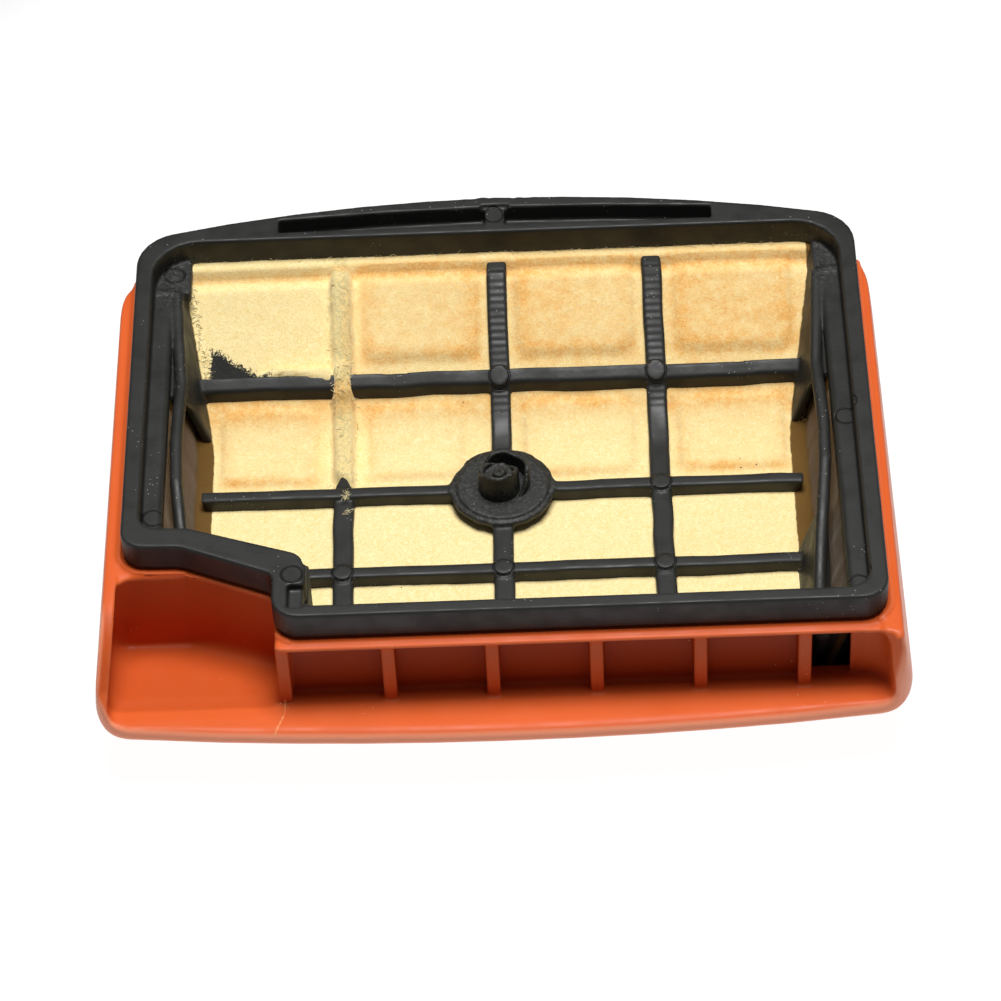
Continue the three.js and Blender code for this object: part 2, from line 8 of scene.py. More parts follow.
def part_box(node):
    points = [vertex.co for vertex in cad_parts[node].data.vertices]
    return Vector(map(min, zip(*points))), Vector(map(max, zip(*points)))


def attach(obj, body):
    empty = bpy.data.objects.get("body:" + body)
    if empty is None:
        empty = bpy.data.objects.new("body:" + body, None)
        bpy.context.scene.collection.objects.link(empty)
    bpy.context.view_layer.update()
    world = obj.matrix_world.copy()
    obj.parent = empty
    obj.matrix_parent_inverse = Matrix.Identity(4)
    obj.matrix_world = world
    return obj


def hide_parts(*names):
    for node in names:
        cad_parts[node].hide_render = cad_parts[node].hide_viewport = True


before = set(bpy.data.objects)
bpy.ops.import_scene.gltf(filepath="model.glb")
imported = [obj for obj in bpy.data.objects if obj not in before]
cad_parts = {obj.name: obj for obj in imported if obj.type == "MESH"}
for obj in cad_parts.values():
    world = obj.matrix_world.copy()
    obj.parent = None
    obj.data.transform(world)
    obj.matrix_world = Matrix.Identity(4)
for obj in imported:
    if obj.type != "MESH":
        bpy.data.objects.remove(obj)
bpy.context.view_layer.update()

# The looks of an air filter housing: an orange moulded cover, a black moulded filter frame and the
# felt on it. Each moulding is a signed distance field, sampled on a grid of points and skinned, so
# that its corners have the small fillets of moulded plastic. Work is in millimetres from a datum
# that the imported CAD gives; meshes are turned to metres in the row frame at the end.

MM = 0.001

# ---- Datum and sizes, from the CAD nodes ----


def node_mm(name):
    """The box of a CAD node, as (low, high), in millimetres in the row frame."""
    low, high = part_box(name)
    return np.array(low) * 1000, np.array(high) * 1000


rim_low, rim_high = node_mm("seal_rim")
RIM_NEAR = -24.6
DATUM = np.array([(rim_low[0] + rim_high[0]) / 2, rim_low[1] - RIM_NEAR, 0.0])


def node_box(name):
    """The box of a CAD node in millimetres from the datum."""
    low, high = node_mm(name)
    return low - DATUM, high - DATUM


HEIGHT = rim_high[2]
RIM_BOTTOM = rim_low[2]
RIM_HALF = (rim_high[0] - rim_low[0]) / 2
RIM_FAR = node_box("seal_rim")[1][1]
shell_low, shell_high = node_box("housing_shell")
COVER_TOP = shell_high[2]
COVER_X = (shell_low[0] + shell_high[0]) / 2
COVER_HALF = 69.35
COVER_TOP_HALF = 66.9
COVER_WALL = 2.3
BOWL_FILLET = 3.5
CROWN_LOW = -BOWL_FILLET / 4  # the fillet of the two outlines lifts the crown to 0
COVER_FAR = shell_high[1]
LIP_NEAR = shell_low[1]
LIP_TOP = node_box("intake_vane_1")[0][2] - 0.3
LIP_BOTTOM = LIP_TOP - 3.0
BACK_LOW, BACK_HIGH = node_box("intake_back_wall")
HEAD_LOW, HEAD_HIGH = node_box("intake_header_bar")
LEDGE_LOW, LEDGE_HIGH = node_box("inner_ledge")
DISC_LOW, DISC_HIGH = node_box("centre_disc")
DISC_X, DISC_Y = (DISC_LOW[0] + DISC_HIGH[0]) / 2, (DISC_LOW[1] + DISC_HIGH[1]) / 2
DISC_RADIUS = (DISC_HIGH[0] - DISC_LOW[0]) / 2
NEAR_WALL_LOW, NEAR_WALL_HIGH = node_box("near_wall")

RIB_TOP = node_box("cross_rib_2")[1][2]
RIB_DEPTH = 2.6
LONG_RIBS = [sum(b[0] for b in node_box(f"long_rib_{i}")) / 2 for i in (1, 2, 3)]
CROSS_RIBS = [sum(b[1] for b in node_box(f"cross_rib_{i}")) / 2 for i in (1, 2, 3, 4)]
LONG_HALF = 1.8
CROSS_HALF = 1.2
BASKET_HALF = 52.4
SIDE_SLOPE = 0.306
LEAN_LENGTH = math.hypot(1, SIDE_SLOPE)
FELT_THICK = 1.2

# ---- Outlines ----


def rounded(corners, steps=6):
    """The points of an outline whose corners are (u, v) or (u, v, radius)."""
    points = []
    count = len(corners)
    for i, corner in enumerate(corners):
        here = np.array(corner[:2], float)
        if len(corner) < 3:
            points.append(here)
            continue
        before = np.array(corners[i - 1][:2], float) - here
        after = np.array(corners[(i + 1) % count][:2], float) - here
        before /= np.linalg.norm(before)
        after /= np.linalg.norm(after)
        angle = math.acos(float(np.clip(before @ after, -1, 1)))
        reach = corner[2] / math.tan(angle / 2)
        bisector = before + after
        bisector /= np.linalg.norm(bisector)
        centre = here + bisector * corner[2] / math.sin(angle / 2)
        for k in range(steps + 1):
            way = before * (1 - k / steps) + after * (k / steps)
            toward = here + way * reach - centre
            points.append(centre + toward / np.linalg.norm(toward) * corner[2])
    return points


def bezier(p0, c0, c1, p1, steps=10):
    """Points along a cubic curve, without its first."""
    t = np.linspace(0, 1, steps + 1)[1:, None]
    p0, c0, c1, p1 = (np.array(p, float) for p in (p0, c0, c1, p1))
    curve = p0 * (1 - t) ** 3 + 3 * c0 * t * (1 - t) ** 2 + 3 * c1 * t * t * (1 - t) + p1 * t ** 3
    return list(curve)


def flat_arc(crest, radius):
    """An edge that is a shallow arc across the part: its y at each x."""
    def edge(x):
        return crest - x * x / (2 * radius)

    return edge


FAR_EDGE_RADIUS = 265
LIP_EDGE_RADIUS = -661  # it bulges towards the near end
rim_far_edge = flat_arc(RIM_FAR, FAR_EDGE_RADIUS)
cover_far_edge = flat_arc(COVER_FAR, FAR_EDGE_RADIUS)
lip_edge = flat_arc(LIP_NEAR, LIP_EDGE_RADIUS)
ARC_STATIONS = [48, 36, 24, 12, 0, -12, -24, -36, -48]

RIM_OUTER = rounded([
    (-RIM_HALF, -7.6, 4),
    (-54.2, -8, 6),
    (-38.4, -14.8, 2),
    (-38.4, RIM_NEAR, 4.5),
    (RIM_HALF, RIM_NEAR, 4.5),
    (RIM_HALF, rim_far_edge(RIM_HALF), 8),
    *[(x, rim_far_edge(x)) for x in ARC_STATIONS],
    (-RIM_HALF, rim_far_edge(RIM_HALF), 8),
])
RIM_INNER = rounded([
    (-61.3, -3.2, 3),
    (-52.9, -3.6, 4),
    (-33.2, -10.6, 3),
    (-33.2, -22, 2),
    (61.3, -22, 4),
    (61.3, 66.2, 8),
    (-61.3, 66.2, 8),
])
FAR_OUT = 150.0  # a place well past the part, for shapes that run off it
CHEEK_LEFT = -38.2
CHEEK_RIGHT = -36.0
POCKET_FACE = [(-53.6, -8.5), (CHEEK_LEFT, -15.4)]
VANE_NEAR = node_box("intake_vane_1")[0][1]
VANES = [sum(b[0] for b in node_box(f"intake_vane_{i}")) / 2 for i in range(1, 6)]

BEND_START, BEND_END, RAMP_END, RAMP_SLOPE = 31.0, 41.0, 61.0, 0.6


def rib_top(y):
    """Height of the rib grid's top: flat, a bend, a ramp and a short level end."""
    y = np.asarray(y, float)
    bend = np.clip(y - BEND_START, 0, BEND_END - BEND_START)
    ramp = np.clip(y - BEND_END, 0, RAMP_END - BEND_END)
    return RIB_TOP + RAMP_SLOPE * (bend ** 2 / (2 * (BEND_END - BEND_START)) + ramp)


def side_line(z):
    """Half width of the basket at height z: its sides lean out."""
    return BASKET_HALF + SIDE_SLOPE * (z - RIB_TOP)


# ---- Distance fields: negative inside the material ----


class Grid:
    """Sample points in a block; x, y and z broadcast against each other."""

    def __init__(self, low, high, step):
        self.low = np.array(low, np.float32)
        self.step = step
        axes = [np.arange(a, b + step, step, dtype=np.float32) for a, b in zip(low, high)]
        self.x = axes[0][:, None, None]
        self.y = axes[1][None, :, None]
        self.z = axes[2][None, None, :]
        self.shape = tuple(len(a) for a in axes)


def polygon(points, u, v):
    """Signed distance to a closed outline."""
    u, v = np.broadcast_arrays(u, v)
    nearest = np.full(u.shape, np.inf, np.float32)
    inside = np.zeros(u.shape, bool)
    for i, (u1, v1) in enumerate(points):
        u0, v0 = points[i - 1]
        eu, ev = u1 - u0, v1 - v0
        length = eu * eu + ev * ev
        if length < 1e-9:
            continue
        wu, wv = u - np.float32(u0), v - np.float32(v0)
        t = np.clip((wu * eu + wv * ev) / length, 0, 1)
        nearest = np.minimum(nearest, (wu - t * eu) ** 2 + (wv - t * ev) ** 2)
        if v0 != v1:
            inside ^= ((v0 <= v) != (v1 <= v)) & (wu < wv * (eu / ev))
    return (np.where(inside, -1, 1) * np.sqrt(nearest)).astype(np.float32)


def union(a, b, fillet=0.0):
    """The nearer of two bodies, with a fillet where they meet; fillet may vary from point to point."""
    low = np.minimum(a, b)
    if np.ndim(fillet) == 0 and fillet <= 0:
        return low
    blend = np.maximum(fillet - np.abs(a - b), 0)
    return low - blend * blend / (4 * fillet)


def both(a, b, rounding=0.0):
    """What lies in both bodies, with its edges rounded."""
    return -union(-a, -b, rounding)


def cut(a, b, rounding=0.0):
    """Body a without body b, with the cut's edges rounded."""
    return -union(-a, b, rounding)


def between(v, low, high):
    """Distance to a slab from low to high."""
    return np.abs(v - (low + high) / 2) - (high - low) / 2


def half_plane(u, v, start, end):
    """Distance to the line from start to end, positive on its left."""
    du, dv = end[0] - start[0], end[1] - start[1]
    return ((v - start[1]) * du - (u - start[0]) * dv) / math.hypot(du, dv)


def ease(v, low, high):
    """0 below low, 1 above high, and an even rise in between."""
    t = np.clip((v - low) / (high - low), 0, 1)
    return t * t * (3 - 2 * t)


def lumps(u, v, size, seed):
    """Smooth noise from 0 to 1, with lumps about size across."""
    table = np.random.default_rng(seed).random((256, 256))
    gu, gv = np.asarray(u) / size + 1000, np.asarray(v) / size + 1000
    iu, iv = np.floor(gu).astype(int), np.floor(gv).astype(int)
    fu, fv = gu - iu, gv - iv
    fu, fv = fu * fu * (3 - 2 * fu), fv * fv * (3 - 2 * fv)
    corner = {(a, b): table[(iu + a) % 256, (iv + b) % 256] for a in (0, 1) for b in (0, 1)}
    near = corner[0, 0] * (1 - fu) + corner[1, 0] * fu
    far = corner[0, 1] * (1 - fu) + corner[1, 1] * fu
    return near * (1 - fv) + far * fv


# ---- Skinning: surface nets ----

CORNERS = [(i, j, k) for i in (0, 1) for j in (0, 1) for k in (0, 1)]
CELL_EDGES = [(a, b) for a in range(8) for b in range(a + 1, 8)
              if sum(abs(p - q) for p, q in zip(CORNERS[a], CORNERS[b])) == 1]


def skin(field):
    """The surface where field is zero, as (points in cells, quads)."""
    inside = field < 0
    count = np.zeros([n - 1 for n in field.shape], np.uint8)
    nx, ny, nz = count.shape
    for i, j, k in CORNERS:
        count += inside[i:i + nx, j:j + ny, k:k + nz]
    cells = np.argwhere((count > 0) & (count < 8))
    index = np.full(count.shape, -1, np.int32)
    index[tuple(cells.T)] = np.arange(len(cells), dtype=np.int32)
    values = np.stack([field[cells[:, 0] + i, cells[:, 1] + j, cells[:, 2] + k] for i, j, k in CORNERS], 1)
    total = np.zeros((len(cells), 3))
    crossings = np.zeros(len(cells))
    for a, b in CELL_EDGES:
        va, vb = values[:, a], values[:, b]
        crosses = (va < 0) != (vb < 0)
        t = np.where(crosses, va / np.where(crosses, va - vb, 1), 0)[:, None]
        start, end = np.array(CORNERS[a], float), np.array(CORNERS[b], float)
        total += np.where(crosses[:, None], start + t * (end - start), 0)
        crossings += crosses
    points = cells + total / crossings[:, None]
    quads = []
    for axis in range(3):
        lower = [slice(1, -1)] * 3
        upper = [slice(1, -1)] * 3
        lower[axis] = slice(0, -1)
        upper[axis] = slice(1, None)
        first, second = inside[tuple(lower)], inside[tuple(upper)]
        offset = np.array([0 if a == axis else 1 for a in range(3)])
        u, v = [a for a in range(3) if a != axis]
        du, dv = np.eye(3, dtype=int)[u], np.eye(3, dtype=int)[v]
        for leaving in (True, False):
            at = np.argwhere((first != second) & (first == leaving)) + offset
            ring = [at - du - dv, at - dv, at, at - du]
            if leaving == (axis == 1):
                ring.reverse()
            quads.append(np.stack([index[tuple(p.T)] for p in ring], 1))
    return points, np.concatenate(quads)


def smooth(points, quads, rounds, share=0.5):
    """Moves each point part of the way to the mean of its neighbours."""
    n = len(points)
    a = quads.ravel()
    b = np.roll(quads, -1, 1).ravel()
    degree = np.bincount(a, minlength=n) + np.bincount(b, minlength=n)
    for _ in range(rounds):
        mean = np.empty_like(points)
        for c in range(3):
            mean[:, c] = np.bincount(a, points[b, c], n) + np.bincount(b, points[a, c], n)
        points = points + share * (mean / degree[:, None] - points)
    return points


def sample(field, points):
    """Field and its slope at points given in cells, by linear interpolation."""
    top = np.array(field.shape) - 2
    base = np.clip(np.floor(points).astype(int), 0, top)
    f = points - base
    c = {ijk: field[base[:, 0] + ijk[0], base[:, 1] + ijk[1], base[:, 2] + ijk[2]] for ijk in CORNERS}
    value = np.zeros(len(points))
    slope = np.zeros_like(points)
    for (i, j, k), v in c.items():
        wx = f[:, 0] if i else 1 - f[:, 0]
        wy = f[:, 1] if j else 1 - f[:, 1]
        wz = f[:, 2] if k else 1 - f[:, 2]
        value += v * wx * wy * wz
        slope[:, 0] += v * (1 if i else -1) * wy * wz
        slope[:, 1] += v * wx * (1 if j else -1) * wz
        slope[:, 2] += v * wx * wy * (1 if k else -1)
    return value, slope


def settle(field, points, most=0.3):
    """Moves points on to the surface, by no more than the most that is asked for, in cells."""
    value, slope = sample(field, points)
    steep = np.maximum((slope ** 2).sum(1), 1e-6)
    move = -slope * (value / steep)[:, None]
    length = np.linalg.norm(move, axis=1, keepdims=True)
    return points + move * np.minimum(1, most / np.maximum(length, 1e-9))


def edge_standout(points, quads, normals):
    """How far each point stands out from its neighbours, about -1 in a crease and 1 on an edge."""
    mean = smooth(points, quads, 3, 1.0)
    return ((points - mean) * normals).sum(1)


def new_object(name, data):
    thing = bpy.data.objects.new(name, data)
    bpy.context.collection.objects.link(thing)
    return thing


def new_piece(name, points_mm, faces, material, body, replaced=()):
    """A mesh object from points in millimetres from the datum."""
    mesh = bpy.data.meshes.new(name)
    points = (np.asarray(points_mm, float) + DATUM) * MM
    mesh.vertices.add(len(points))
    mesh.vertices.foreach_set("co", points.astype(np.float32).ravel())
    faces = np.asarray(faces, np.int32)
    sides = faces.shape[1]
    mesh.loops.add(faces.size)
    mesh.loops.foreach_set("vertex_index", faces.ravel())
    mesh.polygons.add(len(faces))
    mesh.polygons.foreach_set("loop_start", np.arange(0, faces.size, sides, dtype=np.int32))
    mesh.update(calc_edges=True)
    mesh.validate()
    mesh.polygons.foreach_set("use_smooth", np.ones(len(mesh.polygons), bool))
    mesh.materials.append(material)
    piece = new_object(name, mesh)
    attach(piece, body)
    if replaced:
        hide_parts(*replaced)
    return piece


def point_values(piece, name, values):
    """Gives each point of a piece a value that its material reads by name."""
    attribute = piece.data.attributes.new(name, "FLOAT", "POINT")
    attribute.data.foreach_set("value", np.asarray(values, np.float32))


def moulding(name, grid, field, material, body, replaced):
    """Skins a field and makes it a piece, with a value on each point of how far it stands out, read as edge
    wear and sheen.
    """
    cells, quads = skin(np.ascontiguousarray(field))
    cells = smooth(cells, quads, 2, 0.5)
    cells = settle(field, settle(field, cells))
    cells = smooth(cells, quads, 1, 0.2)
    points = cells * grid.step + grid.low
    _, slope = sample(field, cells)
    normals = slope / np.maximum(np.linalg.norm(slope, axis=1, keepdims=True), 1e-6)
    piece = new_piece(name, points, quads, material, body, replaced)
    point_values(piece, "edge_wear_and_sheen", edge_standout(cells, quads, normals))
    return piece


# ---- Cover ----

VANE_HALF = 1.15
DUCT_X = (51.6, 58)
DUCT_HEADROOM = 0.6
BEHIND_POCKET = [(CHEEK_RIGHT, -13.4), (-53.1, -6.3), (-FAR_OUT, -6.3)]
LIP_CORNER = (-30.6, 7)  # y and radius of the lip's two corners
FAR_CORNER_RADIUS = 16
BAYS_SUNK = 0.5  # how far the bays' walls stay inside the cover's outside
BEAD_OUT = 0.75
BEAD_RADIUS = 0.4


def cover_front():
    """Crowned bottom and leaning sides, seen from the intake; open at the top."""
    lean = (COVER_HALF - COVER_TOP_HALF) / (COVER_TOP - LIP_TOP)
    top_half = COVER_HALF - lean * (FAR_OUT - LIP_TOP)
    right = [(20, CROWN_LOW)]
    right += bezier((20, CROWN_LOW), (40, CROWN_LOW), (54, 1), (62, 3.6))
    right += bezier((62, 3.6), (66, 5), (COVER_HALF, 8), (COVER_HALF, LIP_TOP))
    right += [(top_half, FAR_OUT)]
    points = right + [(-x, z) for x, z in reversed(right)]
    return [(x + COVER_X, z) for x, z in points]


def cover_side():
    """Bottom edge seen from the side: a brow under the lip, the crown, and the rise to the far end."""
    points = [(-FAR_OUT, LIP_BOTTOM), (-31, LIP_BOTTOM)]
    points += bezier((-31, LIP_BOTTOM), (-20, LIP_BOTTOM - 0.8), (-17, CROWN_LOW), (3, CROWN_LOW))
    points += [(20, CROWN_LOW)]
    points += bezier((20, CROWN_LOW), (45, CROWN_LOW), (60, 14), (COVER_FAR, 26))
    points += [(FAR_OUT, 26), (FAR_OUT, FAR_OUT), (-FAR_OUT, FAR_OUT)]
    return points


def cover_plan(open_front):
    """The cover seen from above, either whole or without an end at the lip."""
    narrowed = COVER_HALF - 1.4
    far = [
        (narrowed, cover_far_edge(COVER_HALF), FAR_CORNER_RADIUS),
        *[(x, cover_far_edge(x)) for x in ARC_STATIONS],
        (-narrowed, cover_far_edge(COVER_HALF), FAR_CORNER_RADIUS),
    ]
    if open_front:
        near = [(-COVER_HALF, -FAR_OUT), (COVER_HALF, -FAR_OUT)]
    else:
        near = [(-COVER_HALF, *LIP_CORNER), *[(x, lip_edge(x)) for x in reversed(ARC_STATIONS)],
                (COVER_HALF, *LIP_CORNER)]
    return [(p[0] + COVER_X, p[1]) for p in rounded(near + far, 8)]


def bowl_shape(x, y, z, side_raise=0.0):
    """Crown, sides and far end of the cover."""
    return both(polygon(cover_front(), x, z), polygon(cover_side(), y, z) - side_raise, BOWL_FILLET)


def intake_walls(g, rim_outline):
    """The intake's back wall with its duct, header, right cheek and vanes, and the seat behind them."""
    back = both(between(g.y, BACK_LOW[1], BACK_HIGH[1]), between(g.x, CHEEK_RIGHT - 1, FAR_OUT))
    back = both(back, between(g.z, LIP_TOP - 2, COVER_TOP))
    duct = both(between(g.x, *DUCT_X), between(g.z, LIP_TOP - 0.2, HEAD_LOW[2] - DUCT_HEADROOM), 0.5)
    walls = cut(back, duct, 0.2)
    header = both(between(g.y, HEAD_LOW[1], HEAD_HIGH[1]), between(g.z, HEAD_LOW[2] - 0.2, COVER_TOP), 0.6)
    header = both(header, CHEEK_RIGHT - 1.5 - g.x, 0.6)
    walls = union(walls, header, 0.3)
    cheek_plan = [(59, BACK_LOW[1] + 0.5),
                  *bezier((59, BACK_LOW[1]), (63.4, -24.2), (64.9, -26), (65.4, -28.4)),
                  (FAR_OUT, -28.4), (FAR_OUT, BACK_LOW[1] + 0.5)]
    bay_height = between(g.z, LIP_TOP - 2, HEAD_LOW[2] + 0.5)
    cheek = both(polygon(cheek_plan, g.x, g.y), bay_height)
    walls = union(walls, cheek, 0.5)
    for x in VANES:
        vane = between(g.x, x - VANE_HALF, x + VANE_HALF)
        vane = both(vane, between(g.y, VANE_NEAR, BACK_LOW[1] + 0.5), 0.5)
        walls = union(walls, both(vane, bay_height), 0.4)
    seat_plan = [(-FAR_OUT, POCKET_FACE[0][1]), POCKET_FACE[0], (-50, 0), (60, 0), (60, HEAD_LOW[1]),
                 (FAR_OUT, HEAD_LOW[1]), (FAR_OUT, FAR_OUT), (-FAR_OUT, FAR_OUT)]
    seat = both(-(rim_outline + 1.2), polygon(seat_plan, g.x, g.y), 0.5)
    seat = both(seat, between(g.z, HEAD_LOW[2] - 0.1, COVER_TOP), 0.6)
    return union(walls, seat, 0.4)


def cover_field(g):
    """The cover: a bowl, its slanted near end, the pocket, and the intake's bays, header and seat."""
    bowl = bowl_shape(g.x, g.y, g.z)
    outer = both(bowl, polygon(cover_plan(False), g.x, g.y), 1.2)
    outer = both(outer, g.z - COVER_TOP, 0.7)
    above_lip = LIP_TOP - g.z
    near_slant = both(above_lip, -half_plane(g.y, g.z, (-31, LIP_TOP), (-26.9, COVER_TOP)), 1.0)
    left_top = both(g.z - COVER_TOP, half_plane(g.y, g.z, (-30.8, LIP_TOP), (-19, COVER_TOP)), 6)
    left_slant = both(both(above_lip, -left_top, 1.0), g.x + 50)
    slants = union(near_slant, left_slant)

    intake_plan = [(-FAR_OUT, -FAR_OUT), (FAR_OUT, -FAR_OUT), (FAR_OUT, BACK_HIGH[1]),
                   (CHEEK_RIGHT, BACK_HIGH[1]), *BEHIND_POCKET]
    floor = both(polygon(intake_plan, g.x, g.y), g.z - LIP_TOP)
    wedge = [(-8.5, 10), (-8.5, FAR_OUT), (-FAR_OUT, FAR_OUT), (-FAR_OUT, LIP_TOP), (-29, LIP_TOP)]
    pocket_plan = [(-FAR_OUT, -FAR_OUT), (CHEEK_LEFT, -FAR_OUT), POCKET_FACE[1], POCKET_FACE[0],
                   (-FAR_OUT, POCKET_FACE[0][1])]
    pocket = both(polygon(wedge, g.y, g.z), polygon(pocket_plan, g.x, g.y), 3.0)
    under_floor = 3 * ease(-g.y, 23, 27)
    hollow = bowl_shape(g.x, g.y, g.z, under_floor)
    room = both(hollow + COVER_WALL, polygon(cover_plan(True), g.x, g.y) + COVER_WALL, 2)
    room = cut(room, floor, 1.6)
    edge_fillet = 0.8 + 1.3 * ease(-g.y, 29.5, 32)
    solid = cut(outer, union(room, slants), edge_fillet)

    pocket_wall_plan = [(-FAR_OUT, POCKET_FACE[0][1]), *POCKET_FACE, (CHEEK_LEFT, VANE_NEAR),
                        (CHEEK_RIGHT, VANE_NEAR), *BEHIND_POCKET]
    wall_plan = polygon(pocket_wall_plan, g.x, g.y)
    wall_height = between(g.z, -5, COVER_TOP)
    pocket_walls = both(wall_plan - 2, wall_height, 0.6)
    pocket_walls = both(both(pocket_walls, g.x - CHEEK_LEFT - 1), VANE_NEAR - g.y)
    cheek_wall = both(wall_plan, wall_height, 0.6)
    solid = union(solid, both(union(pocket_walls, cheek_wall), outer + BAYS_SUNK))
    solid = cut(solid, both(pocket, hollow + COVER_WALL, 3.0), 0.6)

    rim_outline = polygon(RIM_OUTER, g.x, g.y)
    walls = both(intake_walls(g, rim_outline), outer + BAYS_SUNK)
    solid = union(solid, walls, 0.5 + 2.0 * ease(g.x, 59, 64))
    solid = both(solid, outer)

    bead = np.sqrt((rim_outline - BEAD_OUT) ** 2 + (g.z - COVER_TOP) ** 2) - BEAD_RADIUS
    return union(solid, both(bead, solid - BEAD_RADIUS), 0.4)


# ---- Filter frame ----

BRIDGE_HALF = 1.75
BRIDGE_TOP = HEIGHT - 0.7
SLOT_END = 39.0
SLOT_NEAR = 68.1
LEDGE_WIDTH = 3.5
LEDGE_FAR = 58.0
LEDGE_TOP = LEDGE_HIGH[2]
LEDGE_PINS = [(-57.8, 62.0), (-59.3, 2.5), (60.0, 20.9), (59.6, -18.0)]
RIM_PINS = [(-35.0, -15.1), (-0.2, 71.2)]
GRID_PINS = [(LONG_RIBS[1], CROSS_RIBS[3]), (LONG_RIBS[2], CROSS_RIBS[3]), (LONG_RIBS[2], CROSS_RIBS[2]),
             *[(x, CROSS_RIBS[1]) for x in LONG_RIBS]]
PIN_RADIUS = 1.95
BAR_Y = [-19, -9, -1, 5, 13, 22, 30, 36, 45, 57]
BAR_X = [53.2, 53.8, 54.5, 55.2, 56.0, 56.3, 56.1, 55.8, 56.5, 57.3]
BAR_Z = [19.5, 21, 23, 25, 27, 27.5, 27.6, 27.5, 28.3, 29.0]
BAR_HALF = 1.1
BAR_HALF_HEIGHT = 1.25
SLOT_PLAN = [(BRIDGE_HALF, SLOT_NEAR, 0.4), (SLOT_END, SLOT_NEAR - 0.2, 0.4), (SLOT_END, 71.1, 0.4),
             (20, 72.2), (BRIDGE_HALF, 72.65, 0.4)]
CHANNEL_DEPTH = 1.4
CORNER_BLOCKS = (58.2, 59.2)  # the middle of the ledge's corner blocks, left and right
CORNER_OUT = 61.6
STEP_PITCH = 1.15
STEP_HEIGHT = 0.3


def rim_field(g):
    """The flat rim with its slots, bridge, notch channel and pad, and the ledge inside it."""
    outer = polygon(RIM_OUTER, g.x, g.y)
    inner = polygon(RIM_INNER, g.x, g.y)
    ragged = lumps(g.x, g.y * 0, 0.9, 11) - 0.25
    flash = 0.55 * ragged * np.exp(-((g.x - 1) / 5.5) ** 2) * (g.y > 70)
    rim = both(cut(outer - flash, inner), between(g.z, RIM_BOTTOM - 0.2, HEIGHT), 0.4)
    side = np.abs(g.x)
    slot = both(polygon(rounded(SLOT_PLAN), side, g.y), RIM_BOTTOM + 1.7 - g.z)
    rim = cut(rim, slot, 0.2)
    bridge_pad = both(both(side - BRIDGE_HALF - 0.7, between(g.y, SLOT_NEAR + 0.6, 73.2)), BRIDGE_TOP - g.z)
    rim = cut(rim, bridge_pad, 0.2)
    channel = both(between(g.x, -35.7, -33.0), between(g.y, -22.4, -17.4), 0.5)
    channel = both(channel, HEIGHT - CHANNEL_DEPTH - g.z)
    rim = cut(rim, channel, 0.3)
    pad = both(between(g.x, -38, -32.7), between(g.y, -17.2, -12.4), 1)
    pad = both(pad, between(g.z, 29, HEIGHT - 0.15), 0.4)
    rim = union(rim, pad, 0.2)

    ledge = both(inner - 0.6, -(inner + LEDGE_WIDTH))
    ledge = both(ledge, between(g.z, LEDGE_LOW[2], LEDGE_TOP), 1.2)
    ledge = both(ledge, g.y - LEDGE_FAR)
    ledge = cut(ledge, both(between(g.x, -55, -29.4), g.y - 3))
    corner_x = np.where(g.x < 0, *CORNER_BLOCKS).astype(np.float32)
    corner = both(np.abs(side - corner_x) - (CORNER_OUT - corner_x), between(g.y, 57.4, 66.6), 0.8)
    corner = both(corner, between(g.z, LEDGE_LOW[2] + 0.6, LEDGE_TOP - 0.2), 0.6)
    ledge = union(ledge, corner, 1.0)
    return rim, ledge


def side_field(g):
    """The leaning webs of the frame's two sides, with a bar across the window between them."""
    side = np.abs(g.x)
    depth = (side - side_line(g.z)) / LEAN_LENGTH
    stations = np.linspace(37, 62, 8)
    web = [(36.8, 12.5), *[(y, float(rib_top(y)) - RIB_DEPTH - 0.3) for y in stations],
           (66.4, 26.4), (66.4, 29.8), (58.5, 29.6), (50, 28.2), (42, 27.4), (34, 27.6), (33, 25.2),
           (35.6, 23.6), (36.9, 20.5)]
    far_web = both(polygon(web, g.y, g.z), between(depth, -0.2, 1.5), 0.4)
    near_web = polygon([(-20, 11), (6.4, 11), (6.4, 22.6), (-20, 19.6)], g.y, g.z)
    near_web = both(near_web, between(depth, -0.6, 1.2), 0.4)
    bar_y = g.y.ravel()
    bar_x = np.interp(bar_y, BAR_Y, BAR_X).astype(np.float32)[None, :, None]
    bar_z = np.interp(bar_y, BAR_Y, BAR_Z).astype(np.float32)[None, :, None]
    bar = both(np.abs(side - bar_x) - BAR_HALF, np.abs(g.z - bar_z) - BAR_HALF_HEIGHT, 1.1)
    bar = both(bar, between(g.y, -20, 57.5))
    frame_side = union(union(far_web, near_web), bar, 0.9)
    return cut(frame_side, both(g.x, g.y + 1.5))


